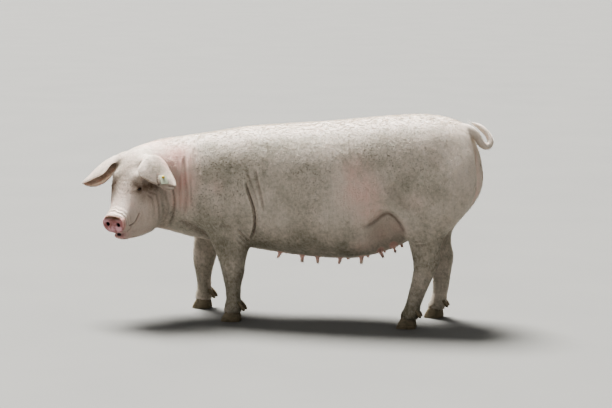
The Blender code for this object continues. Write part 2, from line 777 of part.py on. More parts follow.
def teats(tree):
    """Two rows of teats, each standing off the belly and turned a little outward."""
    made = []
    for places, side in ((NEAR_TEATS, -1), (FAR_TEATS, 1)):
        for number, x in enumerate(places):
            below = Vector((x, side * TEAT_OUT, 0))
            where, normal = skin_point(tree, below, below + UP)
            if normal.z > 0:
                normal = -normal
            size = 1 + 0.10 * math.sin(2.1 * number + side)
            lean = Vector((0.25 * math.sin(1.7 * number + side), side * 0.20, 0))
            run = (normal + lean).normalized()
            across = run.cross(ALONG).normalized()
            rings = []
            for height, radius in TEAT:
                centre = where + run * height * size
                r = radius * size
                rings.append(rounded_ring(centre, across, run.cross(across), r, r, r, 2, TEAT_SIDES))
            made.append(through_rings("teat", rings))
    return joined("teats", made)


def ear_tag(ear_piece):
    """The tag's plate against the outer face of the left ear, and the head of its stud on the plate."""
    tree = BVHTree.FromPolygons(
        [v.co for v in ear_piece.data.vertices], [p.vertices for p in ear_piece.data.polygons]
    )
    outside = in_head(TAG_AT[0] + 0.10, TAG_AT[1] + 0.06, TAG_AT[2] + 0.06)
    where, normal = skin_point(tree, outside, in_head(*TAG_AT))
    turn = facing(normal)
    thick = TAG_PLATE[2] / 2
    centre = where + normal * (thick + TAG_CLEAR) - turn.col[2] * 0.012
    half = Vector((thick, TAG_PLATE[0] / 2, TAG_PLATE[1] / 2))
    plate = block("ear_tag_plate", centre, half, turn)
    base = where + normal * (TAG_PLATE[2] + TAG_CLEAR + GAP)
    rings = []
    for height, share in ((0, 1.0), (0.6, 1.0), (0.9, 0.75), (1.0, 0.45)):
        r = TAG_STUD[0] * share
        at = base + normal * TAG_STUD[1] * height
        rings.append(rounded_ring(at, turn.col[1], turn.col[2], r, r, r, 2, 16))
    return [plate, through_rings("ear_tag_stud", rings)]


def material(name, colour, roughness):
    made = bpy.data.materials.new(name)
    made.use_nodes = True
    surface = made.node_tree.nodes["Principled BSDF"]
    surface.inputs["Base Color"].default_value = (*colour, 1)
    surface.inputs["Roughness"].default_value = roughness
    surface.inputs["Metallic"].default_value = 0
    return made


def finish(obj, look, soft=True):
    """Gives a node its material and shading and stands it in the final frame."""
    obj.data.materials.clear()
    obj.data.materials.append(look)
    for polygon in obj.data.polygons:
        polygon.material_index = 0
        polygon.use_smooth = soft
    obj.data.transform(Matrix.Translation(ORIGIN_SHIFT))
    obj.data.update()


clear_scene()
body = make_body()
tree = BVHTree.FromPolygons([v.co for v in body.data.vertices], [p.vertices for p in body.data.polygons])
torso = thinned(body, "torso", BODY_TRIANGLES)
head = thinned(body, "head", HEAD_TRIANGLES)
bpy.data.objects.remove(body)

# Head from neck, neck from trunk
head_turn = facing(forward_left(math.radians(60))[0] + UP * 0.10)
head_middle = in_head(*HEAD_CUT) + head_turn @ Vector((BOX[0], 0, 0))
combine(head, block("inside", head_middle, BOX, head_turn), "INTERSECT")
combine(torso, block("outside", head_middle, BOX, head_turn, GAP), "DIFFERENCE")
neck_turn = facing(Vector((-math.cos(NECK_TILT), 0, math.sin(NECK_TILT))))
neck_middle = Vector(NECK_CUT) + neck_turn @ Vector((BOX[0], 0, 0))
neck_piece = part_off(torso, "neck", block, (neck_middle, BOX, neck_turn))

# Legs from the trunk, then each below the knee or hock
legs = {}
for name, side, (front, back), inner, outer, joint in LEG_CUTS:
    whole = part_off(torso, name + "_upper", wedge, (front, back, side, inner, outer))
    lower = Vector(((front + back) / 2, side * 0.15, joint - 0.3))
    shank_box = (lower, Vector((0.3, 0.14, 0.3)), Matrix.Identity(3))
    legs[name] = part_off(whole, name + "_lower", block, shank_box)
    legs[name + "_upper"] = whole

# Claws, tail, teats
nodes = [torso, neck_piece, head] + list(legs.values())
horn = []
for name, claws in feet():
    copies = [grown(one) for one in claws]
    for one in copies:
        combine(legs[name], one, "DIFFERENCE")
    horn += claws
tail = [tail_part(*row) for row in TAIL_PARTS]
for one in tail:
    combine(torso, grown(one), "DIFFERENCE")
combine(torso, teats(tree), "UNION")

# Ears, eyes, nostrils and mouth
ears = [ear("ear_left", 1, LEFT_EAR), ear("ear_right", -1, RIGHT_EAR)]
for one in ears:
    combine(one, grown(head, 2 * GAP), "DIFFERENCE")
eyes = [eye_parts(head, tree, side) for side in (1, -1)]
for side in (-1, 1):
    combine(head, nostril(side), "DIFFERENCE")
combine(head, mouth_cut(), "DIFFERENCE")
tag = ear_tag(ears[0])

skin = material("skin", (0.72, 0.55, 0.48), 0.75)
hoof = material("hoof", (0.34, 0.28, 0.22), 0.55)
eye = material("eye", (0.03, 0.02, 0.015), 0.10)
tag_green = material("tag_green", (0.45, 0.55, 0.40), 0.45)
tag_yellow = material("tag_yellow", (0.80, 0.70, 0.10), 0.45)
for obj in nodes + ears + tail:
    finish(obj, skin)
for obj in horn:
    finish(obj, hoof)
for obj in eyes:
    finish(obj, eye)
finish(tag[0], tag_green, False)
finish(tag[1], tag_yellow)
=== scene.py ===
import math

import bmesh
import bpy
import numpy as np
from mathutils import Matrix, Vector
from mathutils.bvhtree import BVHTree


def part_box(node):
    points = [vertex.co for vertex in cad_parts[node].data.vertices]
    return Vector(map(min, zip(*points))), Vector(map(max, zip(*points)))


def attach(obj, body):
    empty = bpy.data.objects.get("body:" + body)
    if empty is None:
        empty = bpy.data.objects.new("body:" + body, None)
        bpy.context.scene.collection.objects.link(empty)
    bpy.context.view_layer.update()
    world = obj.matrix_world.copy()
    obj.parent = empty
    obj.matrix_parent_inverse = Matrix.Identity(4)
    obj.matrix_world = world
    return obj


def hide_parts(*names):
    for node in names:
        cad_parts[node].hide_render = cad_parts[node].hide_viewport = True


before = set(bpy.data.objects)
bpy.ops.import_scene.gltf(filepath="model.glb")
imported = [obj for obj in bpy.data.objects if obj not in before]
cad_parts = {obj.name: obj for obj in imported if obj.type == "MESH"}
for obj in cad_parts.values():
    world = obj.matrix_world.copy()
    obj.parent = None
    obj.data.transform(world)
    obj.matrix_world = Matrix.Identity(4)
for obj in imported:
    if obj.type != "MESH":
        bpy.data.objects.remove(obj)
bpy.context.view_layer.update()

scene = bpy.context.scene


# The view
# The camera stands on the sow's left, a little behind square and above the level of her back,
# about nine metres off, so that her legs run nearly parallel in the picture.
VIEW_TURN = math.radians(12)
VIEW_RISE = math.radians(8)
VIEW_DISTANCE = 9.0
METRES_PER_PIXEL = 0.00445
IMAGE_WIDTH = 612
IMAGE_HEIGHT = 408
GROUND_ROW = 317.6
GROUND_PLACE = Vector((0.085, 0.056, 0))
FILM_WIDTH = 36
VIEW_END = 100


def hang(name, source, place, toward):
    """Puts a camera or a lamp at a place, turned this way."""
    hung = bpy.data.objects.new(name, source)
    hung.location = place
    hung.rotation_euler = toward.to_track_quat("-Z", "Y").to_euler()
    scene.collection.objects.link(hung)
    return hung


toward_camera = Vector((
    math.sin(VIEW_TURN) * math.cos(VIEW_RISE),
    -math.cos(VIEW_TURN) * math.cos(VIEW_RISE),
    math.sin(VIEW_RISE),
))
picture_up = Vector((
    -math.sin(VIEW_TURN) * math.sin(VIEW_RISE),
    math.cos(VIEW_TURN) * math.sin(VIEW_RISE),
    math.cos(VIEW_RISE),
))
aim = GROUND_PLACE + picture_up * (GROUND_ROW - IMAGE_HEIGHT / 2) * METRES_PER_PIXEL
lens = bpy.data.cameras.new("view")
lens.sensor_width = FILM_WIDTH
lens.lens = FILM_WIDTH * VIEW_DISTANCE / (IMAGE_WIDTH * METRES_PER_PIXEL)
lens.clip_end = VIEW_END
scene.camera = hang("view", lens, aim + toward_camera * VIEW_DISTANCE, -toward_camera)
scene.view_settings.look = "AgX - High Contrast"


# The floor
# A wide, pale, matt studio floor that the sow stands on. It isn't part of her.
FLOOR_RADIUS = 80.0
FLOOR_SIDES = 96


class Signal:
    """What one socket of a shader node gives, added, multiplied and mixed as a number is."""

    def __init__(self, tree, socket):
        self.tree = tree
        self.socket = socket

    def node(self, kind, settings, inputs, output=0):
        """A node of any kind, with its settings and the values or signals at its inputs."""
        made = self.tree.nodes.new(kind)
        for name, value in settings.items():
            setattr(made, name, value)
        for key, value in inputs.items():
            if isinstance(value, Signal):
                self.tree.links.new(value.socket, made.inputs[key])
            else:
                made.inputs[key].default_value = value
        return Signal(self.tree, made.outputs[output])

    def maths(self, operation, first, second):
        """One step of arithmetic."""
        return self.node("ShaderNodeMath", {"operation": operation}, {0: first, 1: second})

    def __add__(self, other):
        return self.maths("ADD", self, other)

    def __sub__(self, other):
        return self.maths("SUBTRACT", self, other)

    def __rsub__(self, other):
        return self.maths("SUBTRACT", other, self)

    def __mul__(self, other):
        return self.maths("MULTIPLY", self, other)

    __radd__ = __add__
    __rmul__ = __mul__

    def at_most(self, other):
        """The lesser of this and another."""
        return self.maths("MINIMUM", self, other)

    def step(self, low, high):
        """Rises smoothly from 0 at low to 1 at high, or falls where low is the greater."""
        return self.node(
            "ShaderNodeMapRange",
            {"interpolation_type": "SMOOTHSTEP"},
            {"Value": self, "From Min": low, "From Max": high},
        )

    def mix(self, first, second):
        """The first colour where this is 0 and the second where it is 1."""
        return self.node("ShaderNodeMix", {"data_type": "RGBA"}, {0: self, 6: first, 7: second}, 2)


def linear(red, green, blue):
    """A paint chip's colour, given from 0 to 255, as light."""
    shares = [chip / 255 for chip in (red, green, blue)]
    light = [((share + 0.055) / 1.055) ** 2.4 if share > 0.04045 else share / 12.92 for share in shares]
    return (*light, 1.0)


def new_finish(name, even):
    """A new material, even in these inputs, with its surface shader and the place on the object."""
    finish = bpy.data.materials.new(name)
    finish.use_nodes = True
    tree = finish.node_tree
    shader = tree.nodes["Principled BSDF"]
    for socket_name, value in even.items():
        shader.inputs[socket_name].default_value = value
    where = tree.nodes.new("ShaderNodeTexCoord")
    return finish, shader, Signal(tree, where.outputs["Object"])


def feed(shader, name, signal):
    """Joins a signal to one of the shader's inputs."""
    signal.tree.links.new(signal.socket, shader.inputs[name])


def noise(where, scale, detail=3.0, roughness=0.5):
    """Cloudy variation, with this many clouds to the metre."""
    inputs = {"Vector": where, "Scale": scale, "Detail": detail, "Roughness": roughness}
    return where.node("ShaderNodeTexNoise", {}, inputs)


def as_mesh(name, surface):
    """A worked surface as a finished mesh."""
    mesh = bpy.data.meshes.new(name)
    surface.to_mesh(mesh)
    surface.free()
    return mesh


def pale_floor():
    """Matt pale grey, hardly clouded."""
    finish, shader, where = new_finish("pale floor", {"Roughness": 0.85})
    feed(shader, "Base Color", noise(where, 1.5).mix(linear(100, 100, 98), linear(107, 107, 104)))
    return finish


ground = bmesh.new()
bmesh.ops.create_circle(ground, cap_ends=True, segments=FLOOR_SIDES, radius=FLOOR_RADIUS)
floor = bpy.data.objects.new("floor", as_mesh("floor", ground))
floor.data.materials.append(pale_floor())
scene.collection.objects.link(floor)


# The light
# A veiled sun, high above her far side and a little toward her head, whitens her back and ears. A wide
# soft sky shades her near side gently down to the belly, and one weak broad lamp opens its shadows.

# Each far source: where its light comes from, its strength, and how many degrees wide it looks
FAR_LIGHTS = {
    "veiled sun": ((-0.32, 0.38, 1.0), 12.0, 26),
    "sky above": ((0.0, 0.0, 1.0), 1.2, 140),
}
SUN_COLOUR = (1.0, 0.985, 0.96)
FRONT_LAMP_PLACE = Vector((-3.6, -4.6, 2.6))
FRONT_LAMP_AIM = Vector((-0.1, 0, 0.5))
FRONT_LAMP_WIDTH = 3.0
FRONT_LAMP_WATTS = 36
SKY_COLOUR = linear(226, 229, 232)
SKY_STRENGTH = 0.15

for name, (comes_from, strength, width) in FAR_LIGHTS.items():
    light = bpy.data.lights.new(name, "SUN")
    light.energy = strength
    light.angle = math.radians(width)
    light.color = SUN_COLOUR
    hang(name, light, Vector(comes_from), -Vector(comes_from))
front_light = bpy.data.lights.new("front", "AREA")
front_light.energy = FRONT_LAMP_WATTS
front_light.size = FRONT_LAMP_WIDTH
hang("front", front_light, FRONT_LAMP_PLACE, FRONT_LAMP_AIM - FRONT_LAMP_PLACE)
sky = bpy.data.worlds.new("studio")
sky.use_nodes = True
background = sky.node_tree.nodes["Background"]
background.inputs["Color"].default_value = SKY_COLOUR
background.inputs["Strength"].default_value = SKY_STRENGTH
scene.world = sky


# The skin
# One hide covers trunk, neck, head, ears, tail and legs, with the claws let into it at the foot.
# The flesh solids are grown until they touch, made one closed surface, smoothed and drawn in again,
# by the coat's depth more above the reach of the claws.
SIDES = {"left": 1, "right": -1}
ENDS = ("fore", "hind")
FLESH = ["torso", "neck", "head", "ear_left", "ear_right", "tail_root", "tail_curl", "tail_tip"]
FLESH += [f"{end}leg_{side}_{length}" for end in ENDS for side in SIDES for length in ("upper", "lower")]
SAME_POINT = 0.00002
TOUCH = 0.0010
SKIN_GRAIN = 0.0032
COAT_DEPTH = 0.0014
CLAW_REACH = 0.075
SKIN_TRIANGLES = 168000
TRUNK_SMOOTHING = 240
LAST_SMOOTHING = 2
SHARE_LEVELS = 16

# She runs along x from head to tail, with her left side at the low end of y. Her head is turned to her
# left, so a place on it is measured ahead of the poll, to the left of it and up.
MIDLINE = 0.056
POLL = np.array((-0.652, -0.134, 0.7305))
HEAD_TURN = math.radians(67)
AHEAD = np.array((-math.cos(HEAD_TURN), -math.sin(HEAD_TURN), 0.0))
LEFTWARD = np.array((math.sin(HEAD_TURN), -math.cos(HEAD_TURN), 0.0))

# The roots of the ears, which are smoothed with the trunk: their middles and reach
EAR_ROOTS = [((0.015, 0.064, -0.012), 0.036), ((0.048, 0.056, -0.068), 0.032)]
EAR_ROOT_SHARE = 0.85


def merged(name):
    """A solid's surface with its triangles joined."""
    surface = bmesh.new()
    surface.from_mesh(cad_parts[name].data)
    bmesh.ops.remove_doubles(surface, verts=surface.verts, dist=SAME_POINT)
    return surface


def piece(name, mesh, node_names, finish):
    """A finished mesh as a piece of the sow in place of the solids that it stands for."""
    made = bpy.data.objects.new(name, mesh)
    scene.collection.objects.link(made)
    mesh.materials.append(finish)
    mesh.shade_smooth()
    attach(made, "root")
    if node_names:
        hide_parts(*node_names)


def modified(mesh, kind, settings, shares=None):
    """The mesh after a modifier, with each point's share in it, from 0 to 1, in the group named share."""
    carrier = bpy.data.objects.new("carrier", mesh)
    scene.collection.objects.link(carrier)
    if shares is not None:
        group = carrier.vertex_groups.new(name="share")
        levels = np.round(shares * SHARE_LEVELS).astype(int)
        for level in np.unique(levels[levels > 0]):
            group.add(np.nonzero(levels == level)[0].tolist(), level / SHARE_LEVELS, "REPLACE")
    modifier = carrier.modifiers.new(kind, kind)
    for name, value in settings.items():
        setattr(modifier, name, value)
    made = bpy.data.meshes.new_from_object(carrier.evaluated_get(bpy.context.evaluated_depsgraph_get()))
    bpy.data.objects.remove(carrier)
    return made


def threes(items, name, kind=float):
    """What every point or triangle of a mesh has by this name, as rows of three."""
    rows = np.empty(len(items) * 3, dtype=kind)
    items.foreach_get(name, rows)
    return rows.reshape(-1, 3)


def places(mesh):
    """Where every point of a mesh is."""
    return threes(mesh.vertices, "co")


def facings(mesh):
    """The way the surface faces at every point."""
    return threes(mesh.vertices, "normal")


def put(mesh, rows):
    """Moves every point of a mesh to its new place."""
    mesh.vertices.foreach_set("co", rows.ravel())
    mesh.update()


def smooth_step(low, high, value):
    """Rises smoothly from 0 at low to 1 at high, or falls where low is the greater."""
    t = np.clip((value - low) / (high - low), 0.0, 1.0)
    return t * t * (3 - 2 * t)


def ridge(off, width):
    """1 where this distance is 0, falling off to both sides."""
    return np.exp(-((off / width) ** 2))


def bump_at(rows, centre, radius):
    """1 at a centre and falling off around it."""
    off = rows - centre
    return np.exp(-(off * off).sum(axis=1) / (radius * radius))


def head_frame(rows):
    """Places as ahead of, left of and above the poll, in the turned head."""
    off = rows - POLL
    return off @ AHEAD, off @ LEFTWARD, off[:, 2]


def folded_head(rows):
    """Places in the turned head as rows, with its right side laid on its left."""
    ahead, left, up = head_frame(rows)
    return np.stack([ahead, np.abs(left), up], axis=1)


def region(rows, **edges):
    """1 in a region and 0 outside it, by measures, each with where it starts and is full."""
    ahead, left, up = head_frame(rows)
    measures = {
        "run": rows[:, 0],
        "rightward": rows[:, 1],
        "height": rows[:, 2],
        "off_midline": np.abs(rows[:, 1] - MIDLINE),
        "ahead": ahead,
        "aside": np.abs(left),
        "up": up,
    }
    level = np.ones(len(rows))
    for name, (starts, full) in edges.items():
        level = level * smooth_step(starts, full, measures[name])
    return level


def fineness(rows):
    """0 on the broad trunk, where the form is plain, and up to 1 on the face, ears, feet and tail."""
    spot = folded_head(rows)
    ear_roots = np.maximum.reduce([bump_at(spot, centre, reach) for centre, reach in EAR_ROOTS])
    face = region(rows, ahead=(-0.16, -0.06)) * (1 - EAR_ROOT_SHARE * ear_roots)
    feet = region(rows, height=(0.32, 0.12))
    tail = region(rows, run=(0.80, 0.86))
    udder = region(rows, height=(0.36, 0.32), off_midline=(0.11, 0.09))
    return np.maximum.reduce([face, feet, tail, udder])


all_flesh = bmesh.new()
source_parts = []
for index, name in enumerate(FLESH):
    part = merged(name)
    for point in part.verts:
        point.co = point.co + point.normal * TOUCH
    grown = as_mesh(name, part)
    before = len(all_flesh.faces)
    all_flesh.from_mesh(grown)
    source_parts += [index] * (len(all_flesh.faces) - before)
    bpy.data.meshes.remove(grown)
nearest_flesh = BVHTree.FromBMesh(all_flesh)
hide = modified(as_mesh("rough", all_flesh), "REMESH", {"mode": "VOXEL", "voxel_size": SKIN_GRAIN})
trunk_smoothing = {"factor": 0.5, "iterations": TRUNK_SMOOTHING, "vertex_group": "share"}
hide = modified(hide, "SMOOTH", trunk_smoothing, 1.0 - fineness(places(hide)))
hide = modified(hide, "SMOOTH", {"factor": 0.5, "iterations": LAST_SMOOTHING})


# Folds of the hide: each is a path, its width and depth in metres, and how much dirt and painted shade it
# holds.
# On the trunk a path runs along the body and up, on the head ahead of the poll and up from it.
ELBOW_FOLDS = [
    ([(-0.142, 0.640), (-0.137, 0.600), (-0.117, 0.547), (-0.101, 0.490), (-0.104, 0.424), (-0.130, 0.363)],
     0.0040, 0.0105, 0.80),
    ([(-0.104, 0.690), (-0.084, 0.614), (-0.069, 0.563), (-0.056, 0.495)], 0.0055, 0.0048, 0.36),
    ([(-0.150, 0.690), (-0.118, 0.625), (-0.096, 0.564), (-0.084, 0.510)], 0.0055, 0.0032, 0.28),
    ([(-0.180, 0.420), (-0.158, 0.392), (-0.133, 0.360)], 0.0045, 0.0045, 0.40),
    ([(-0.176, 0.395), (-0.156, 0.368), (-0.136, 0.345)], 0.0040, 0.0035, 0.35),
    ([(-0.185, 0.372), (-0.165, 0.352), (-0.142, 0.333)], 0.0040, 0.0025, 0.25),
    ([(-0.262, 0.424), (-0.232, 0.431), (-0.196, 0.427)], 0.0050, 0.0022, 0.20),
]
FLANK_ARCH = [
    (0.372, 0.433), (0.400, 0.450), (0.430, 0.473), (0.456, 0.496), (0.481, 0.508), (0.505, 0.497),
    (0.531, 0.466), (0.547, 0.433), (0.552, 0.395),
]
FLANK_FOLDS = [
    (FLANK_ARCH, 0.0100, 0.0050, 0.74),
    ([(0.492, 0.640), (0.515, 0.600), (0.548, 0.560), (0.590, 0.530)], 0.0260, 0.0050, 0.22),
    ([(0.594, 0.384), (0.616, 0.389), (0.644, 0.387)], 0.0040, 0.0030, 0.35),
    ([(0.600, 0.368), (0.622, 0.373), (0.650, 0.372)], 0.0040, 0.0026, 0.30),
    ([(0.560, 0.640), (0.585, 0.655), (0.612, 0.650)], 0.0080, 0.0008, 0.05),
]
NECK_FOLDS = [
    ([(-0.437, 0.735), (-0.430, 0.690), (-0.422, 0.623), (-0.416, 0.564), (-0.418, 0.513), (-0.434, 0.455)],
     0.0070, 0.0060, 0.22),
    ([(-0.446, 0.650), (-0.449, 0.590), (-0.449, 0.546), (-0.456, 0.490)], 0.0055, 0.0045, 0.20),
    ([(-0.398, 0.770), (-0.384, 0.735), (-0.366, 0.690), (-0.356, 0.650)], 0.0080, 0.0030, 0.15),
    ([(-0.400, 0.640), (-0.394, 0.580), (-0.398, 0.520)], 0.0060, 0.0025, 0.20),
    ([(-0.470, 0.446), (-0.407, 0.414), (-0.342, 0.375), (-0.315, 0.345)], 0.0150, 0.0100, 0.30),
]
HEAD_FOLDS = [
    ([(-0.094, -0.130), (-0.098, -0.165), (-0.104, -0.202),
      (-0.110, -0.246), (-0.120, -0.290), (-0.134, -0.320)], 0.0055, 0.0090, 0.50),
    ([(-0.064, -0.150), (-0.074, -0.185), (-0.086, -0.215), (-0.090, -0.255), (-0.098, -0.300)],
     0.0060, 0.0028, 0.14),
    ([(-0.018, -0.150), (-0.027, -0.190), (-0.034, -0.240), (-0.050, -0.285)], 0.0055, 0.0036, 0.24),
    ([(0.004, -0.175), (-0.004, -0.215), (-0.010, -0.260)], 0.0060, 0.0014, 0.06),
    ([(0.052, -0.240), (0.061, -0.272), (0.074, -0.291), (0.100, -0.297)], 0.0034, 0.0060, 0.90),
    ([(0.082, -0.296), (0.074, -0.312), (0.082, -0.330)], 0.0035, 0.0030, 0.50),
    ([(0.022, -0.118), (0.002, -0.122), (-0.022, -0.128)], 0.0035, 0.0022, 0.34),
    ([(0.022, -0.150), (0.002, -0.156), (-0.018, -0.164)], 0.0035, 0.0018, 0.26),
    ([(0.024, -0.160), (0.014, -0.172), (-0.004, -0.182)], 0.0035, 0.0015, 0.20),
]

# Each side, 1 for the left and -1 for the right: how much further back its folds lie at elbow and flank,
# as its legs stand, and the share of depth in the folds of its neck and cheek
SIDE_FOLDS = [
    (1, 0.0, 0.0, 1.0, 1.0),
    (-1, -0.055, 0.050, 0.45, 0.80),
]

# A fold's section in its own widths: its reach, and the place, width and height of its lips
FOLD_REACH = 5
FOLD_LIP = (2.3, 1.3, 0.35)
# How wide, in fold widths, the dirt and painted shade lie along a fold's groove
FOLD_DIRT_AND_SHADE_WIDTH = 0.8
FOLD_END = 0.16

# The hollow of the flank below the arch: where it starts and ends, its edge's width and its depth
HOLLOW_START = (0.372, 0.450)
HOLLOW_END = (0.556, 0.532)
HOLLOW_EDGE = 0.024
HOLLOW_DEPTH = 0.0120

# The snout's flat face, by its middle and the way it faces, and the rings of hide on top behind it, by
# how far back, how wide and how deep each is
SNOUT_MIDDLE = (0.141, -0.290)
SNOUT_FACING = (0.98, -0.20)
SNOUT_RINGS = [
    (0.011, 0.0022, 0.0012), (0.0255, 0.0030, 0.0026), (0.037, 0.0034, 0.0014), (0.051, 0.0042, 0.0008),
]
RING_LIP = (2.2, 1.3, 0.4)
# How dark the rings' grooves are painted with dirt and shade, for each metre of depth
RING_DIRT_AND_SHADE = 110

# A healed slit beside the tag, which runs down to a notch in the ear's edge
EAR_SLIT = [
    (-0.511, -0.230, 0.668), (-0.509, -0.238, 0.656), (-0.506, -0.246, 0.644), (-0.503, -0.251, 0.632),
    (-0.500, -0.253, 0.618), (-0.499, -0.252, 0.606),
]
EAR_SLIT_WIDTH = 0.0042
EAR_SLIT_DEPTH = 0.0030
EAR_NOTCH = ((-0.499, -0.250, 0.604), 0.0080)
EAR_NOTCH_RISE = (-0.0018, 0.0038, 0.0091)

# The open front of the mouth, by its place on the head and its reach
MOUTH_PIT = ((0.116, 0.004, -0.337), 0.0085)
MOUTH_PIT_DEPTH = 0.0080

# Under the tail: middle height, half width, half height, rise in metres, and dirt with painted shade
UNDER_TAIL = [
    (0.685, 0.0210, 0.0300, 0.0100, 0.0),
    (0.682, 0.0042, 0.0190, -0.0070, 0.60),
    (0.743, 0.0090, 0.0085, -0.0060, 0.65),
    (0.560, 0.0120, 0.0750, -0.0120, 0.22),
]
BROW_FURROW_DEPTH = 0.0003


def rounded_path(points):
    """A path with its corners rounded."""
    path = np.array(points, dtype=float)
    for _ in range(3):
        near = path[:-1] * 0.75 + path[1:] * 0.25
        far = path[:-1] * 0.25 + path[1:] * 0.75
        between = np.stack([near, far], axis=1).reshape(-1, path.shape[1])
        path = np.concatenate([path[:1], between, path[-1:]])
    return path


def off_path(rows, points):
    """How far each place is from a path, and how far along the path it lies, from 0 to 1."""
    path = rounded_path(points)
    steps = np.linalg.norm(np.diff(path, axis=0), axis=1)
    reached = np.concatenate([[0.0], np.cumsum(steps)]) / steps.sum()
    gap = np.full(len(rows), 1.0)
    along = np.zeros(len(rows))
    for index, step in enumerate(steps):
        start = path[index]
        way = path[index + 1] - start
        t = np.clip((rows - start) @ way / (step * step), 0.0, 1.0)
        off = np.linalg.norm(rows - start - t[:, None] * way, axis=1)
        nearer = off < gap
        gap[nearer] = off[nearer]
        along[nearer] = reached[index] + t[nearer] * (reached[index + 1] - reached[index])
    return gap, along


def add_folds(rows, sideways, folds, height, dirt_and_shade, strength=1.0):
    """Lays folds over the places given by two measures, where the hide faces sideways, with dirt and painted
    shade in each groove.
    """
    lip_place, lip_width, lip_share = FOLD_LIP
    for points, width, depth, stain in folds:
        path = np.array(points)
        reach = FOLD_REACH * width
        near = np.all((rows > path.min(axis=0) - reach) & (rows < path.max(axis=0) + reach), axis=1)
        near = np.nonzero(near & (sideways > 0.0))[0]
        gap, along = off_path(rows[near], points)
        ends = smooth_step(0.0, FOLD_END, along) * smooth_step(1.0, 1 - FOLD_END, along)
        level = ends * sideways[near] * strength
        groove = ridge(gap, width)
        lips = ridge(gap - lip_place * width, lip_width * width)
        height[near] += depth * level * (lip_share * lips - groove)
        # Dirt and painted shade darken the middle of the groove.
        dirt_and_shade[near] = np.maximum(dirt_and_shade[near], stain * level * ridge(gap, FOLD_DIRT_AND_SHADE_WIDTH * width))


def flank_hollow(rows, side, shift):
    """1 in the hollow of one side's flank, between the arch of loose hide and the udder."""
    arch = rounded_path(FLANK_ARCH)
    run = rows[:, 0] - shift
    under = np.interp(run, arch[:, 0], arch[:, 1]) - rows[:, 2]
    ends = smooth_step(*HOLLOW_START, run) * smooth_step(*HOLLOW_END, run)
    return smooth_step(0.0, HOLLOW_EDGE, under) * ends * ((MIDLINE - rows[:, 1]) * side > 0)


def behind_disc(rows):
    """How far back from the flat face of the snout."""
    ahead, left, up = head_frame(rows)
    return -((ahead - SNOUT_MIDDLE[0]) * SNOUT_FACING[0] + (up - SNOUT_MIDDLE[1]) * SNOUT_FACING[1])


def fold_both_sides(rows, facing, height, dirt_and_shade):
    """Lays the folds of both elbows, flanks, sides of neck and cheeks, and gives the flanks' hollows."""
    trunk = rows[:, [0, 2]]
    ahead, left, up = head_frame(rows)
    head = np.stack([ahead, up], axis=1)
    hollows = np.zeros(len(rows))
    for side, elbow_shift, flank_shift, neck_share, cheek_share in SIDE_FOLDS:
        sideways = smooth_step(0.25, 0.6, -facing[:, 1] * side)
        flank = np.where((MIDLINE - rows[:, 1]) * side > 0, sideways, 0.0)
        add_folds(trunk - (elbow_shift, 0.0), flank, ELBOW_FOLDS, height, dirt_and_shade)
        add_folds(trunk - (flank_shift, 0.0), flank, FLANK_FOLDS, height, dirt_and_shade)
        hollows = np.maximum(hollows, flank_hollow(rows, side, flank_shift) * flank)
        neck = flank * smooth_step(-0.085, -0.105, ahead)
        add_folds(trunk, neck, NECK_FOLDS, height, dirt_and_shade, neck_share)
        cheek = np.where(left * side > 0.02, smooth_step(0.05, 0.4, facing @ LEFTWARD * side), 0.0)
        cheek = cheek * smooth_step(-0.17, -0.13, ahead)
        add_folds(head, cheek, HEAD_FOLDS, height, dirt_and_shade, cheek_share)
    return hollows


def ring_snout(rows, height, dirt_and_shade):
    """Lays the wavy rings on top of the snout, behind its flat face, with dirt and painted shade in their
    grooves.
    """
    ahead, left, up = head_frame(rows)
    lip_place, lip_width, lip_share = RING_LIP
    muzzle = (np.abs(left) < 0.075) & (ahead > 0.03) & (up < -0.12)
    top = smooth_step(-0.325, -0.265, up) * muzzle
    wave = behind_disc(rows) + 0.0025 * np.sin(left * 70) + 0.0012 * np.sin(left * 190 + up * 60)
    for ring, width, depth in SNOUT_RINGS:
        groove = ridge(wave - ring, width)
        height -= depth * groove * top
        height += lip_share * depth * ridge(wave - ring - lip_place * width, lip_width * width) * top
        np.maximum(dirt_and_shade, RING_DIRT_AND_SHADE * depth * groove * top, out=dirt_and_shade)


def relief_of(rows, facing):
    """The height of every fold and wrinkle, and the dirt and painted shade that lie in them."""
    height = np.zeros(len(rows))
    dirt_and_shade = np.zeros(len(rows))
    ahead, left, up = head_frame(rows)
    hollows = fold_both_sides(rows, facing, height, dirt_and_shade)
    ring_snout(rows, height, dirt_and_shade)
    gap, along = off_path(rows, EAR_SLIT)
    slit = ridge(gap, EAR_SLIT_WIDTH) * smooth_step(0.0, 0.3, along) * (ahead > 0.0)
    height -= EAR_SLIT_DEPTH * slit
    # Painted shade darkens the slit.
    dirt_and_shade = np.maximum(dirt_and_shade, 0.95 * slit)
    height -= MOUTH_PIT_DEPTH * bump_at(folded_head(rows), *MOUTH_PIT)
    height -= HOLLOW_DEPTH * hollows
    behind = smooth_step(0.30, 0.70, facing[:, 0]) * region(rows, run=(0.70, 0.77))
    for middle, half_width, half_height, rise, stain in UNDER_TAIL:
        off = ((rows[:, 1] - MIDLINE) / half_width) ** 2 + ((rows[:, 2] - middle) / half_height) ** 2
        height += rise * behind * np.exp(-off)
        dirt_and_shade = np.maximum(dirt_and_shade, stain * behind * np.exp(-off))
    brow = region(rows, aside=(0.060, 0.020), up=(-0.19, -0.17), ahead=(0.0, 0.03))
    furrows = np.sin(up * 330 + 3.0 * np.cos(left * 40)) * smooth_step(-0.06, -0.08, up)
    height += BROW_FURROW_DEPTH * brow * furrows
    return height, dirt_and_shade


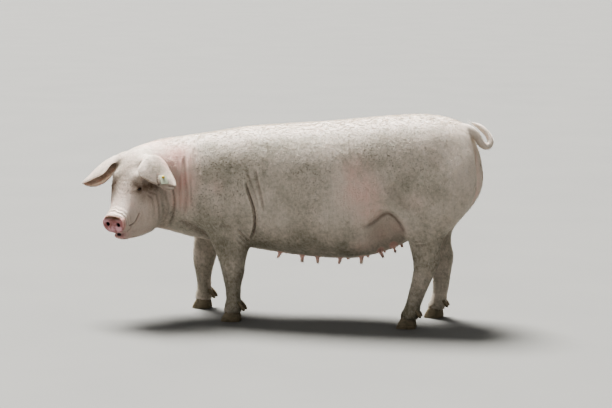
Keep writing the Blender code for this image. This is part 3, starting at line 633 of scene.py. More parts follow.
rows = places(hide)
heights, _ = relief_of(rows, facings(hide))
notch = bump_at(rows, *EAR_NOTCH)[:, None] * EAR_NOTCH_RISE
put(hide, rows + facings(hide) * heights[:, None] + notch)
hide = modified(hide, "DECIMATE", {"ratio": SKIN_TRIANGLES / (2 * len(hide.polygons))})


# Lids: the hide is made finer within a reach of the muzzle's middle, and within two reaches of the
# eyes. Then a slit is opened over each eye, with a lid above and below. Nostrils are in the solids.
MUZZLE_MIDDLE = (0.115, 0.0, -0.295)
MUZZLE_REACH = 0.066
EYE_REACHES = (0.034, 0.024)

# The slits' half length and half height, the lids' thickness, and the creases round a slit, each by its
# size and width in slits and its depth
EYE_OUTWARD = (0.42, 0.90, 0.08)
EYE_SLIT_WAY = (1.0, 0.0, -0.28)
EYE_SLIT = (0.0105, 0.0062)
LID_THICKNESS = 0.0022
LID_FIELD = 0.03
LID_CREASES = [(1.95, 0.16, 0.0016), (2.60, 0.18, 0.0012)]
SLIT_DEPTH = 0.0030


def head_way(ahead, left, up, sign=1):
    """A way that is given in the turned head, with left as right for a sign of -1."""
    return AHEAD * ahead + LEFTWARD * left * sign + np.array((0.0, 0.0, up))


def unit(rows):
    """Each row made one long."""
    return rows / np.maximum(np.linalg.norm(rows, axis=-1), 1e-9)[..., None]


def middle_and_size(name):
    """The middle of a solid's box and its size along each axis."""
    low, high = (np.array(corner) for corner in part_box(name))
    return (low + high) / 2, high - low


def eye_places():
    """Each eye: middle, radius, the way it looks, the way its slit runs and the way to its upper lid."""
    for side, sign in SIDES.items():
        middle, size = middle_and_size(f"eye_{side}")
        outward = unit(head_way(*EYE_OUTWARD, sign))
        slit = head_way(*EYE_SLIT_WAY)
        slit = unit(slit - outward * (slit @ outward))
        yield middle, size.max() / 2, outward, slit, np.cross(outward, slit) * sign


def finer(mesh, centres, reach):
    """Cuts every edge near these centres in two."""
    work = bmesh.new()
    work.from_mesh(mesh)
    near = [point for point in work.verts if any((point.co - Vector(c)).length < reach for c in centres)]
    edges = {edge for point in near for edge in point.link_edges}
    bmesh.ops.subdivide_edges(work, edges=list(edges), cuts=1, use_grid_fill=True)
    bmesh.ops.triangulate(work, faces=[face for face in work.faces if len(face.verts) > 3])
    work.to_mesh(mesh)
    work.free()


def open_lids(mesh):
    """Opens an almond slit over each eye, with a thick lid above and below."""
    rows = places(mesh)
    for middle, radius, outward, slit, rise in eye_places():
        off = rows - middle
        out = off @ outward
        along = off @ slit
        above = off @ rise
        near = (np.abs(along) < LID_FIELD) & (np.abs(above) < LID_FIELD) & (out > -0.004) & (out < LID_FIELD)
        a = along[near] / EYE_SLIT[0]
        b = above[near] / EYE_SLIT[1]
        ring = np.sqrt(a * a + b * b + 0.35 * np.abs(a * b))
        flat = along[near] ** 2 + above[near] ** 2
        ball = np.sqrt(np.maximum(radius * radius - flat, 0.0))
        lid = ball + LID_THICKNESS * (0.55 + 0.45 * ridge(ring - 1.25, 0.3))
        lid_share = smooth_step(2.3, 1.25, ring)
        shaped = out[near] * (1 - lid_share) + np.maximum(lid, out[near] - 0.002) * lid_share
        shaped = shaped - sum(depth * ridge(ring - size, width) for size, width, depth in LID_CREASES)
        sunk = smooth_step(1.06, 0.90, ring)
        shaped = shaped * (1 - sunk) + np.minimum(shaped, ball - SLIT_DEPTH) * sunk
        rows[near] += (shaped - out[near])[:, None] * outward
    put(mesh, rows)


eye_middles = [place[0] for place in eye_places()]
finer(hide, [POLL + head_way(*MUZZLE_MIDDLE)], MUZZLE_REACH)
for reach in EYE_REACHES:
    finer(hide, eye_middles, reach)
rows = places(hide)
inset = np.where(rows[:, 2] < CLAW_REACH, TOUCH, TOUCH + COAT_DEPTH)
put(hide, rows - facings(hide) * inset[:, None])
open_lids(hide)


# Markings, laid as amounts over the skin, which the coat repeats at each hair's root: pink blush, the dried
# mud of sides, belly and legs with painted shade darker low down, dirt and painted shade in the folds, brown
# stain with painted shade round the eyes, in the flanks' hollows and inside the ears, bare mauve skin, and
# openings painted near black as shade.
SKIN_PALE = linear(212, 201, 190)
SKIN_PINK = linear(226, 186, 176)
# Mud greys, the upper two with painted shade in them; the darkest is for specks
GREY_MUD_AND_SHADE = linear(128, 126, 110)
LOW_MUD_AND_SHADE = linear(108, 105, 85)
MUD_DARK = linear(78, 74, 58)
SNOUT_MAUVE = linear(168, 114, 114)
SNOUT_PALE = linear(216, 172, 180)
# Brown for stains and painted shade, dark for dirt and painted shade in the folds, near black for painted
# shade in the openings
BROWN_STAIN_AND_SHADE = linear(96, 70, 46)
FOLD_DIRT_AND_SHADE = linear(84, 62, 46)
OPENING_SHADE = linear(22, 13, 12)

# Where pink skin shows, on flanks, elbow, thigh, rear and neck: middle, radius and strength
BLUSH_PLACES = [
    ((0.34, -0.16, 0.68), 0.11, 0.42),
    ((0.37, -0.16, 0.60), 0.12, 0.50),
    ((0.40, -0.15, 0.52), 0.10, 0.42),
    ((0.52, -0.10, 0.44), 0.07, 0.34),
    ((0.45, -0.10, 0.40), 0.08, 0.34),
    ((0.36, -0.08, 0.36), 0.08, 0.34),
    ((-0.28, -0.13, 0.60), 0.05, 0.32),
    ((0.60, -0.16, 0.56), 0.07, 0.25),
    ((0.37, 0.27, 0.60), 0.13, 0.48),
    ((0.41, 0.26, 0.50), 0.10, 0.40),
    ((0.47, 0.20, 0.42), 0.10, 0.50),
    ((-0.20, 0.25, 0.60), 0.08, 0.32),
    ((0.84, 0.06, 0.71), 0.07, 0.50),
    ((0.84, 0.07, 0.64), 0.08, 0.52),
    ((0.82, 0.09, 0.56), 0.09, 0.54),
    ((0.79, 0.07, 0.48), 0.09, 0.50),
    ((-0.47, -0.10, 0.72), 0.10, 0.74),
    ((-0.44, -0.10, 0.62), 0.09, 0.62),
    ((-0.44, -0.10, 0.54), 0.07, 0.50),
]
EVEN_BLUSH = 0.12
PINK_BESIDE_SNOUT = ((0.085, 0.060, -0.205), 0.034)

# The rows of teats, by how far to the right of the midline and how far along the body they hang
TEAT_ROWS = {
    -0.068: (-0.017, 0.082, 0.151, 0.253, 0.347, 0.431, 0.489),
    0.068: (-0.033, 0.063, 0.179, 0.261, 0.341, 0.419, 0.497),
}

# Mud and painted shade are thinner in the left flank's hollow, and begin higher toward the tail, by this
# slope
CLEAN_HOLLOW = ((0.46, -0.11, 0.41), 0.07)
MUD_LINE_SLOPE = 0.10

# Brown stains and thin dark skin on the head, with the ears' shadow painted round the eyes, alike on both
# sides: middle, reach and strength
HEAD_STAINS_AND_SHADOWS = [
    ((0.050, 0.080, -0.138), 0.026, 0.88),
    ((0.055, 0.062, -0.120), 0.020, 0.72),
    ((0.063, 0.055, -0.148), 0.015, 0.45),
    ((0.030, 0.098, -0.128), 0.028, 0.90),
    ((0.008, 0.110, -0.128), 0.026, 0.80),
    ((-0.015, 0.115, -0.135), 0.024, 0.65),
    ((0.048, 0.075, -0.112), 0.020, 0.50),
    ((0.040, 0.092, -0.168), 0.024, 0.45),
    ((0.010, 0.112, -0.165), 0.028, 0.40),
    ((0.143, 0.000, -0.288), 0.012, 0.35),
]

# The dark rim over the snout's flat face: its height, its bow down to each side, and its width
RIM_HEIGHT = -0.258
RIM_BOW = 1.6
RIM_WIDTH = 0.0125
RUMP_MARK = ((0.849, 0.142, 0.691), 0.0075)

# The nostrils and the open front of the mouth, where shade is painted near black: middle, reach and how flat
# each is
OPENINGS = [((0.124, 0.030, -0.289), 0.0146, 1.0), ((0.108, 0.004, -0.338), 0.0150, 1.5)]
LIPS = ((0.098, 0.014, -0.345), 0.026)


def on_ears(rows):
    """1 on the ears, off the head."""
    return region(rows, aside=(0.10, 0.14), up=(-0.20, -0.16), ahead=(-0.09, -0.05))


def inside_ear(rows, facing):
    """1 on the inner face of the ears, which hangs down and forward."""
    return on_ears(rows) * smooth_step(0.30, -0.40, facing[:, 2])


def on_teats(rows):
    """1 on the teats and falling off round their roots."""
    level = np.zeros(len(rows))
    low = region(rows, height=(0.42, 0.38))
    for across, runs in TEAT_ROWS.items():
        for run in runs:
            off = np.hypot(rows[:, 0] - run, rows[:, 1] - MIDLINE - across)
            level = np.maximum(level, smooth_step(0.024, 0.013, off) * low)
    return level


def blush_of(rows, facing):
    """How pink the skin is: in places, on neck, face, snout, ears and teats, and a little everywhere."""
    return np.maximum.reduce([
        *(strength * bump_at(rows, centre, radius) for centre, radius, strength in BLUSH_PLACES),
        0.36 * region(rows, run=(-0.44, -0.56), ahead=(-0.02, -0.10)),
        0.26 * region(rows, ahead=(-0.10, 0.0)),
        0.95 * region(rows, ahead=(0.100, 0.138), up=(-0.245, -0.262)),
        0.36 * bump_at(folded_head(rows), *PINK_BESIDE_SNOUT),
        0.24 * inside_ear(rows, facing),
        0.22 * on_ears(rows),
        0.66 * on_teats(rows),
        np.full(len(rows), EVEN_BLUSH),
    ])


def mud_and_shade_of(rows, facing):
    """How much dried mud and dust, with painted shade, lies on the coat: least on the back, most low on the
    trunk and legs.
    """
    upper = region(rows, height=(0.52, 0.68))
    sides = smooth_step(0.850, 0.795, rows[:, 2] - MUD_LINE_SLOPE * rows[:, 0])
    sides = sides * region(rows, off_midline=(0.05, 0.11))
    # The upper rump gets less mud and painted shade.
    sides = sides * (1 - 0.55 * upper * region(rows, run=(0.66, 0.80)))
    low = region(rows, height=(0.62, 0.30)) * (1 - on_teats(rows))
    feet = region(rows, height=(0.30, 0.05))
    # Mud and painted shade deepen low on the trunk and on the legs.
    level = 0.10 + (0.28 + 0.23 * upper) * sides + 0.34 * low + 0.15 * feet
    level = level - 0.35 * bump_at(rows, *CLEAN_HOLLOW)
    level = level - 0.18 * low * region(rows, rightward=(0.06, 0.13))
    # On the face, the brow gets more mud and painted shade than the cheeks.
    face = region(rows, ahead=(-0.10, 0.0))
    brow = region(rows, up=(-0.20, -0.06))
    level = level * (1 - face) + (0.30 + 0.36 * brow) * face
    return np.clip(level, 0.0, 1.0)


def fold_dirt_and_shade_of(rows, facing):
    """How much dirt and painted shade lies in the folds."""
    return relief_of(rows, facing)[1]


def stain_and_shade_of(rows, facing):
    """How dark and brown the skin is: brown stain and the ears' painted shadow round the eyes, the snout's
    rim, a mark on the rump, and painted shade in the flanks' hollows and inside the ears.
    """
    ahead, left, up = head_frame(rows)
    rim = ridge(up - RIM_HEIGHT + RIM_BOW * left * left, RIM_WIDTH) * region(rows, aside=(0.052, 0.038))
    rim = rim * smooth_step(0.022, 0.010, behind_disc(rows)) * (ahead > 0.1)
    spot = folded_head(rows)
    return np.maximum.reduce([
        # Brown stain, and the ears' shadow painted round the eyes
        *(strength * bump_at(spot, centre, reach) for centre, reach, strength in HEAD_STAINS_AND_SHADOWS),
        # Painted shade in the flanks' hollows
        *(0.22 * flank_hollow(rows, side, flank_shift) for side, _, flank_shift, _, _ in SIDE_FOLDS),
        0.92 * rim,
        0.80 * bump_at(rows, *RUMP_MARK),
        # Painted shade on the inner face of the ears
        0.48 * inside_ear(rows, facing),
    ])


def bare_of(rows, facing):
    """How much of the bare mauve skin is here, that of the snout's flat face and the lips."""
    ahead, left, up = head_frame(rows)
    off = np.hypot(left, (up - SNOUT_MIDDLE[1]) * 1.1)
    disc = smooth_step(0.016, 0.006, behind_disc(rows)) * smooth_step(0.062, 0.052, off)
    disc = disc * region(rows, up=(-0.246, -0.262))
    return np.maximum(disc, 0.85 * bump_at(folded_head(rows), *LIPS))


def opening_of(rows, facing):
    """How deep in a nostril or in the open front of the mouth, where shade is painted near black."""
    spot = folded_head(rows)
    level = np.zeros(len(rows))
    for centre, reach, flatness in OPENINGS:
        off = np.linalg.norm((spot - centre) * (1.0, 1.0, flatness), axis=1)
        level = np.maximum(level, smooth_step(reach * 1.05, reach * 0.75, off))
    return level


MARKINGS = {
    "blush": blush_of,
    "mud_and_shade": mud_and_shade_of,
    "fold_dirt_and_shade": fold_dirt_and_shade_of,
    # The stain amount holds painted shade as well as brown stains.
    "stain": stain_and_shade_of,
    "bare": bare_of,
    "opening": opening_of,
}


def lay_markings(mesh, rows, facing, points_each=1):
    """Lays every marking's amount over a mesh, as found at these places, each with so many points."""
    for name, amount_of in MARKINGS.items():
        values = np.repeat(amount_of(rows, facing), points_each)
        layer = mesh.attributes.new(name, "FLOAT", "POINT")
        layer.data.foreach_set("value", values.astype(np.float32))


def stretched(where, scale):
    """The place on the object, stretched along its axes."""
    return where.node("ShaderNodeMapping", {}, {"Vector": where, "Scale": scale})


def relief(height, depth, under=None):
    """Small heights in metres as a turning of the surface."""
    inputs = {"Height": height, "Distance": depth, "Strength": 1.0}
    if under:
        inputs["Normal"] = under
    return height.node("ShaderNodeBump", {}, inputs)


def amount(where, name):
    """The named amount at this point of the surface."""
    return where.node("ShaderNodeAttribute", {"attribute_name": name}, {}, 2)


def measure(where, axis):
    """How far along the body, across it or up this point is, for 0, 1 or 2."""
    return where.node("ShaderNodeSeparateXYZ", {}, {0: where}, axis)


# Specks of dirt in two sizes: how many to the metre, where in the noise they start and are full, and
# their strength
SPECKS = [(150.0, 0.57, 0.66, 0.62), (78.0, 0.61, 0.68, 0.56)]


def speck_cover(where, blush):
    """Where specks lie: in patches, most in a band high on the sides, fewest on pink, rump and legs."""
    height = measure(where, 2)
    band = height.step(0.64, 0.74) * height.step(0.88, 0.80)
    cover = (noise(where, 5.0, 2.0).step(0.42, 0.62) * 0.8 + 0.2 + band * 0.35) * blush.step(0.45, 0.20)
    return cover * (measure(where, 0).step(0.78, 0.58) * 0.75 + 0.25) * (height.step(0.34, 0.54) * 0.8 + 0.2)


def hide_colour(where):
    """The hide's colour with painted shade: pale, with pink patches, cloudy mud darker low down, dark
    specks, stains and folds.
    """
    blush = amount(where, "blush")
    clouds = noise(where, 6.0, 4.0, 0.6)
    fine = noise(where, 70.0, 3.0, 0.65)
    streaks = noise(stretched(where, (1.0, 1.0, 0.2)), 55.0, 3.0, 0.6)
    pink = (blush * 1.1 + (clouds - 0.5) * 1.2 * blush + (streaks - 0.5) * 0.9 * blush).step(0.05, 0.95)
    colour = pink.mix(SKIN_PALE, SKIN_PINK)
    mud_and_shade = amount(where, "mud_and_shade")
    muddy_and_shaded = (mud_and_shade + (clouds - 0.5) * 1.4 + (fine - 0.5) * 0.8 - blush * 0.95).step(0.05, 0.95)
    # Mud and painted shade grow darker toward the bottom.
    low = measure(where, 2).step(0.56, 0.28)
    colour = (muddy_and_shaded * (low * 0.10 + 0.78)).mix(colour, low.mix(GREY_MUD_AND_SHADE, LOW_MUD_AND_SHADE))
    cover = speck_cover(where, blush)
    for scale, starts, full, share in SPECKS:
        specks = noise(where, scale, 2.0, 0.8).step(starts, full) * cover
        colour = (specks * share).at_most(0.8).mix(colour, MUD_DARK)
    mauve = noise(where, 34.0, 3.0, 0.6).step(0.40, 0.62).mix(SNOUT_MAUVE, SNOUT_PALE)
    colour = (amount(where, "bare") * 0.9).mix(colour, mauve)
    # Brown stain, with painted shade round the eyes, in the flanks' hollows and inside the ears.
    stain = (amount(where, "stain") * (0.6 + fine * 0.8)).at_most(1.0)
    colour = stain.mix(colour, BROWN_STAIN_AND_SHADE)
    # Dirt and painted shade in the folds, in the ear's slit and under the tail.
    colour = (amount(where, "fold_dirt_and_shade") * 0.85).at_most(1.0).mix(colour, FOLD_DIRT_AND_SHADE)
    # Painted shade, near black, in the nostrils and the open mouth.
    return amount(where, "opening").mix(colour, OPENING_SHADE)


def bristled_hide():
    """Slightly see-through skin, with wrinkles that run up it, pits, pores and the lie of fine hair."""
    finish, shader, where = new_finish("bristled hide", {
        "Subsurface Weight": 0.12,
        "Subsurface Radius": (1.0, 0.6, 0.45),
        "Subsurface Scale": 0.0035,
        "Specular IOR Level": 0.35,
    })
    feed(shader, "Base Color", hide_colour(where))
    feed(shader, "Roughness", noise(where, 40.0).step(0.2, 0.8) * 0.14 + 0.52)
    wrinkles = noise(stretched(where, (1.0, 0.4, 0.22)), 60.0, 4.0, 0.6) * measure(where, 2).step(0.78, 0.60)
    pits = noise(where, 130.0, 3.0, 0.6)
    cells = {"Vector": where, "Scale": 300.0}
    pores = where.node("ShaderNodeTexVoronoi", {"feature": "DISTANCE_TO_EDGE"}, cells).step(0.0, 0.25)
    lie = noise(stretched(where, (0.16, 1.0, 1.0)), 420.0, 2.0, 0.6)
    surface = relief(wrinkles, 0.0030)
    surface = relief(pits, 0.0006, surface)
    surface = relief(pores, 0.0005, surface)
    feed(shader, "Normal", relief(lie, 0.0010, surface))
    return finish


lay_markings(hide, places(hide), facings(hide))
piece("skin", hide, FLESH, bristled_hide())


# The coat
# Short white bristles, sparse enough for the hide to show: they lie back along the body, down the
# legs, up the face and out along the ears, longest on the crest of the back and at the tail's tip.
BRISTLE_WIDTH = 0.00034
BRISTLE_SLIMNESS = 0.032
ROOT_DEPTH = 0.0010
SWAY = 0.20
COAT_SEED = 11
HAIR_WHITE = linear(236, 228, 214)

# A bristle bends at a knee. Below and above it: the share of its length, and its lift in its field's
LOWER_LENGTH = 0.45
UPPER_LENGTH = 0.60
LOWER_LIFT = 2.0
UPPER_LIFT = 0.6
KNEE_THICKNESS = 0.8

# How far bristles differ by chance, as shares of the length, lift and width that they would have
LENGTH_RANGE = (0.6, 1.25)
LIFT_RANGE = (0.6, 1.5)
WIDTH_RANGE = (0.75, 1.25)

# A bristle's points, three at its foot, three at its knee and its tip, laid flat in its patch of the map
BRISTLE_PATCH = [(-1, -1), (0, -1), (1, -1), (-1, 0.3), (0, 0.3), (1, 0.3), (0, 1)]
BRISTLE_POINTS = len(BRISTLE_PATCH)
PATCH_SIZE = 0.0015

# The line of the tail from its root to its tip, which the tail's hair follows
TAIL_LINE = [
    (0.725, 0.056, 0.846), (0.803, 0.056, 0.860), (0.847, 0.058, 0.811), (0.885, 0.074, 0.783),
    (0.895, 0.086, 0.800), (0.885, 0.096, 0.826), (0.837, 0.106, 0.868), (0.799, 0.106, 0.880),
]

# The hair's length in metres, and how much longer it grows on crest, nape and tail's tip
TRUNK_HAIR = 0.016
CREST_GROWTH = 0.011
LEG_HAIR = 0.013
FACE_HAIR = 0.0095
NAPE_GROWTH = 0.006
MUZZLE_LOSS = 0.62
EAR_HAIR = 0.0085
TAIL_HAIR = 0.010
TIP_GROWTH = 0.028

# No bristle grows this near an eye's middle, the snout's flat face or the ground
BARE_ROUND_EYE = 0.0165
BARE_BEHIND_DISC = 0.004
BARE_ABOVE_GROUND = 0.045

# The skin laid flat in a square: the torso fills the lower half, and the other parts share the upper
# half, four to a row, each with a clear edge
MAP_EDGE = 0.01
TORSO_FIELD = (0.98, 0.46)
UPPER_HALF = 0.49
FIELDS_ACROSS = 4
FIELDS_UP = 8
FIELD_EDGE = 0.04


def part_way(name):
    """The way that a part of the flesh runs."""
    if "ear" in name:
        return unit(head_way(0.0, 0.85, -0.5, SIDES[name.removeprefix("ear_")]))
    if "leg" in name or name == "head":
        return np.array((0.0, 0.0, 1.0))
    if name == "tail_curl":
        return np.array((0.0, 1.0, 0.0))
    return np.array((1.0, 0.0, 0.0))


def unrolled(rows, parts):
    """Each place on the skin laid flat, with every part of the flesh unrolled as a tube in its field."""
    flat = np.zeros((len(rows), 2))
    span = 1 - 2 * FIELD_EDGE
    for index, name in enumerate(FLESH):
        middle, size = middle_and_size(name)
        way = part_way(name)
        chosen = parts == index
        off = rows[chosen] - middle
        first = unit(np.cross(way, (0.3, 0.2, 0.93)))
        second = np.cross(way, first)
        turn = np.arctan2(off @ first, off @ second) / (2 * np.pi) + 0.5
        run = np.clip(off @ way / (size @ np.abs(way)) + 0.5, 0.0, 1.0)
        if name == "torso":
            flat[chosen] = MAP_EDGE + np.stack([run, turn], axis=1) * TORSO_FIELD
        else:
            row, column = divmod(index - 1, FIELDS_ACROSS)
            flat[chosen, 0] = (column + FIELD_EDGE + span * run) / FIELDS_ACROSS
            flat[chosen, 1] = UPPER_HALF + (row + FIELD_EDGE + span * turn) / FIELDS_UP
    return flat


def lie_of(rows, facing, parts):
    """Which way the hair lies at each root, along the skin."""
    names = np.array(FLESH)[parts]
    ahead, left, up = head_frame(rows)
    way = np.tile((1.0, 0.0, 0.0), (len(rows), 1))
    way[:, 2] = -0.45 * smooth_step(0.75, 0.1, facing[:, 2])
    legs = region(rows, height=(0.46, 0.34), off_midline=(0.035, 0.06))
    legs = legs * np.where(np.char.find(names, "leg") >= 0, 1.0, 0.35)
    way += legs[:, None] * (-0.7, 0.0, -1.2)
    on_head = names == "head"
    climb = 0.15 + 0.9 * smooth_step(0.1, 0.6, facing @ AHEAD) - 0.45 * smooth_step(-0.22, -0.30, up)
    way[on_head] = -AHEAD
    way[on_head, 2] = climb[on_head]
    for side, sign in SIDES.items():
        way[names == f"ear_{side}"] = head_way(0.12, 0.9, -0.42, sign)
    on_tail = np.nonzero(np.char.startswith(names, "tail"))[0]
    line = rounded_path(TAIL_LINE)
    middles = (line[1:] + line[:-1]) / 2
    nearest = np.linalg.norm(rows[on_tail, None] - middles[None], axis=2).argmin(axis=1)
    way[on_tail] = unit((line[1:] - line[:-1])[nearest])
    return way


def hair_length(rows, facing, parts):
    """How long the hair is at each root, in metres."""
    names = np.array(FLESH)[parts]
    ahead, left, up = head_frame(rows)
    crest = smooth_step(0.70, 0.97, facing[:, 2]) * region(rows, height=(0.6, 0.7))
    length = np.where(rows[:, 2] < 0.34, LEG_HAIR, TRUNK_HAIR + CREST_GROWTH * crest)
    face = FACE_HAIR + NAPE_GROWTH * smooth_step(0.0, -0.10, ahead)
    face = face * (1 - MUZZLE_LOSS * smooth_step(0.055, 0.11, ahead))
    length = np.where(names == "head", face, length)
    length = np.where(np.char.startswith(names, "ear"), EAR_HAIR, length)
    tip = smooth_step(0.045, 0.0, np.linalg.norm(rows - TAIL_LINE[-1], axis=1))
    return np.where(np.char.startswith(names, "tail"), TAIL_HAIR + TIP_GROWTH * tip, length)


def leaning(way, facing, lift):
    """The way raised off the skin by this angle."""
    return way * np.cos(lift)[:, None] + facing * np.sin(lift)[:, None]


def grow_hair(name, roots, facing, parts, chance, lift):
    """Closed three-sided bristles, rooted in the skin, bending down to lie along it."""
    count = len(roots)
    way = lie_of(roots, facing, parts)
    way = unit(way - facing * (way * facing).sum(axis=1)[:, None])
    across = np.cross(facing, way)
    way = unit(way + across * chance.normal(0.0, SWAY, count)[:, None])
    across = np.cross(facing, way)
    length = hair_length(roots, facing, parts) * chance.uniform(*LENGTH_RANGE, count)
    lift = lift * chance.uniform(*LIFT_RANGE, count)
    foot = roots - facing * ROOT_DEPTH
    knee = foot + leaning(way, facing, lift * LOWER_LIFT) * (length * LOWER_LENGTH)[:, None]
    tip = knee + leaning(way, facing, lift * UPPER_LIFT) * (length * UPPER_LENGTH)[:, None]
    half = np.minimum(BRISTLE_WIDTH, length * BRISTLE_SLIMNESS) * chance.uniform(*WIDTH_RANGE, count)
    rings = []
    for middle, share in ((foot, 1.0), (knee, KNEE_THICKNESS)):
        for corner in range(3):
            turn = 2 * math.pi * corner / 3
            side = across * math.cos(turn) + np.cross(across, way) * math.sin(turn)
            rings.append(middle + side * (half * share)[:, None])
    points = np.stack(rings + [tip], axis=1).reshape(-1, 3)
    shape = [(0, 2, 1)]
    for corner in range(3):
        after = (corner + 1) % 3
        shape += [(corner, after, after + 3), (corner, after + 3, corner + 3)]
        shape.append((corner + 3, after + 3, BRISTLE_POINTS - 1))
    faces = (np.array(shape)[None] + BRISTLE_POINTS * np.arange(count)[:, None, None]).reshape(-1, 3)
    mesh = bpy.data.meshes.new(name)
    mesh.from_pydata(points, [], faces)
    patch = np.array(BRISTLE_PATCH) * PATCH_SIZE
    flat = (unrolled(roots, parts)[:, None] + patch[None]).reshape(-1, 2)
    layer = mesh.uv_layers.new(name="OFBake")
    layer.data.foreach_set("uv", flat[faces.ravel()].ravel())
    lay_markings(mesh, roots, facing, BRISTLE_POINTS)
    return mesh


def white_bristles():
    """White hair, a little glossy, that takes on the colour of the hide at its root."""
    finish, shader, where = new_finish("white bristles", {"Roughness": 0.42, "Specular IOR Level": 0.45})
    feed(shader, "Base Color", (noise(where, 25.0) * 0.3 + 0.32).mix(hide_colour(where), HAIR_WHITE))
    return finish


skin_rows = places(hide)
skin_facing = facings(hide)
hide.calc_loop_triangles()
corners = threes(hide.loop_triangles, "vertices", np.int32)
spread = skin_rows[corners]
sizes = np.linalg.norm(np.cross(spread[:, 1] - spread[:, 0], spread[:, 2] - spread[:, 0]), axis=1) / 2
middles = spread.mean(axis=1)
middle_facing = unit(skin_facing[corners].mean(axis=1))
face_parts = np.array([source_parts[nearest_flesh.find_nearest(Vector(place))[2]] for place in middles])
face_names = np.array(FLESH)[face_parts]
ahead, left, up = head_frame(middles)
bare = (behind_disc(middles) < BARE_BEHIND_DISC) & (np.abs(left) < 0.08) & (ahead > 0.08)
for eye_middle in eye_middles:
    bare |= np.linalg.norm(middles - eye_middle, axis=1) < BARE_ROUND_EYE
bare |= opening_of(middles, middle_facing) > 0.1
bare |= middles[:, 2] < BARE_ABOVE_GROUND
trunk = np.isin(face_names, ["torso", "neck"]) & ~bare
on_back = trunk & (middle_facing[:, 2] > 0.35)
beneath = trunk & (middle_facing[:, 2] < -0.45)
flank = trunk & ~on_back & ~beneath
on_left = middles[:, 1] < MIDLINE
head_or_ear = (face_names == "head") | np.char.startswith(face_names, "ear")

# Each field of the coat: where it grows, how many bristles, and their lift off the skin in radians
fields = {
    "coat_back": (on_back, 19000, 0.11),
    "coat_left_side": (flank & on_left, 19000, 0.10),
    "coat_right_side": (flank & ~on_left, 19000, 0.10),
    "coat_belly": (beneath, 9000, 0.14),
    "coat_head": (head_or_ear & ~bare, 19000, 0.14),
    "coat_legs_and_tail": (~trunk & ~head_or_ear & ~bare, 15000, 0.14),
}
coat_finish = white_bristles()
chance = np.random.default_rng(COAT_SEED)
for name, (chosen, count, lift) in fields.items():
    share = np.where(chosen, sizes, 0.0)
    picked = chance.choice(len(share), size=count, p=share / share.sum())
    first = np.sqrt(chance.uniform(0, 1, count))
    second = chance.uniform(0, 1, count)
    weights = np.stack([1 - first, first * (1 - second), first * second], axis=1)[:, :, None]
    roots = (skin_rows[corners[picked]] * weights).sum(axis=1)
    root_facing = unit((skin_facing[corners[picked]] * weights).sum(axis=1))
    coat = grow_hair(name, roots, root_facing, face_parts[picked], chance, lift)
    piece(name, coat, [], coat_finish)


# The eyes
# Small wet balls, set deep under the brow. Each has a black pupil in a brown iris, and the dull brown
# edge of the eye's white round it.
EYE_FACETS = 40
GAZE = (0.55, 0.80, 0.05)
PUPIL_EDGE = (0.0036, 0.0044)
IRIS_EDGE = (0.0078, 0.0090)


def wet_eye(side, pupil_place):
    """Glossy and wet, with a rayed iris round the pupil."""
    even = {"Roughness": 0.12, "Coat Weight": 1.0, "Coat Roughness": 0.03}
    finish, shader, where = new_finish(f"wet eye {side}", even)
    off = where.node("ShaderNodeVectorMath", {"operation": "DISTANCE"}, {0: where, 1: pupil_place}, 1)
    rays = noise(where, 900.0, 3.0)
    brown = rays.mix(linear(52, 34, 22), linear(96, 66, 42))
    colour = (off + (rays - 0.5) * 0.0008).step(*PUPIL_EDGE).mix(linear(6, 5, 5), brown)
    feed(shader, "Base Color", off.step(*IRIS_EDGE).mix(colour, linear(104, 82, 66)))
    return finish


for side, sign in SIDES.items():
    middle, size = middle_and_size(f"eye_{side}")
    radius = size.max() / 2
    ball = bmesh.new()
    bmesh.ops.create_uvsphere(ball, u_segments=EYE_FACETS, v_segments=EYE_FACETS // 2, radius=radius)
    bmesh.ops.translate(ball, verts=ball.verts, vec=Vector(middle))
    gaze = Vector(head_way(*GAZE, sign)).normalized()
    pupil_place = [m + g * radius for m, g in zip(middle, gaze)]
    eyeball = as_mesh(f"eyeball_{side}", ball)
    piece(f"eyeball_{side}", eyeball, [f"eye_{side}"], wet_eye(side, pupil_place))


# The claws
# Two hoofed claws and two small dewclaws on each foot, of grey-brown horn with rings of growth, and
# scuffed darker in patches.
CLAW_ROUNDING = 0.0022
SHARP_EDGE = math.radians(38)


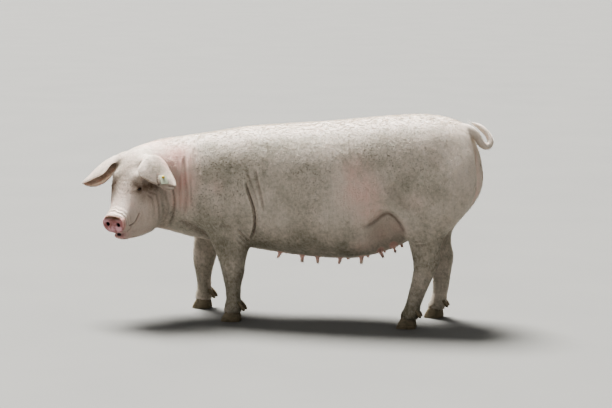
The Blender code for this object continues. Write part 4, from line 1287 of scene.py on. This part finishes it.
def claw_horn():
    """Grey-brown horn with raised rings of growth and greenish scuffs."""
    finish, shader, where = new_finish("claw horn", {})
    rings = noise(stretched(where, (0.35, 0.35, 3.0)), 110.0, 3.0, 0.5)
    stain = noise(where, 45.0, 3.0, 0.6)
    colour = rings.mix(linear(96, 86, 70), linear(150, 138, 116))
    feed(shader, "Base Color", (stain.step(0.45, 0.75) * 0.6).mix(colour, linear(84, 80, 60)))
    feed(shader, "Roughness", stain.step(0.3, 0.8) * 0.2 + 0.45)
    feed(shader, "Normal", relief(rings, 0.0012))
    return finish


def rounded(name, new_name, width):
    """A solid's surface with its sharp edges rounded off by this width, under a new name."""
    edge = {"width": width, "segments": 3, "limit_method": "ANGLE", "angle_limit": SHARP_EDGE}
    mesh = modified(as_mesh(f"sharp_{name}", merged(name)), "BEVEL", edge)
    mesh.name = new_name
    return mesh


claw_finish = claw_horn()
claws = [
    f"{kind}_{end}_{side}_{place}"
    for end in ENDS for side in SIDES for kind in ("claw", "dewclaw") for place in ("inner", "outer")
]
for name in claws:
    piece(f"horn_{name}", rounded(name, f"horn_{name}", CLAW_ROUNDING), [name], claw_finish)


# The ear tag
# A pale grey-green plastic plate against the left ear, with the yellow button of its pin above. Both
# are moulded with slightly rounded edges and dulled by wear.
TAG_ROUNDING = 0.0004
PLASTICS = {
    "ear_tag_plate": ("tag_green", linear(170, 175, 156)),
    "ear_tag_stud": ("tag_yellow", linear(196, 170, 84)),
}


def worn_plastic(slot_name, colour):
    """Plastic with dull worn patches."""
    finish, shader, where = new_finish(slot_name.replace("_", " "), {})
    wear = noise(where, 160.0, 4.0, 0.6)
    feed(shader, "Base Color", (wear.step(0.5, 0.8) * 0.3).mix(colour, linear(140, 134, 112)))
    feed(shader, "Roughness", wear * 0.25 + 0.35)
    feed(shader, "Normal", relief(wear, 0.0003))
    return finish


for name, (slot_name, colour) in PLASTICS.items():
    moulded = rounded(name, f"{name}_moulded", TAG_ROUNDING)
    piece(f"{name}_moulded", moulded, [name], worn_plastic(slot_name, colour))
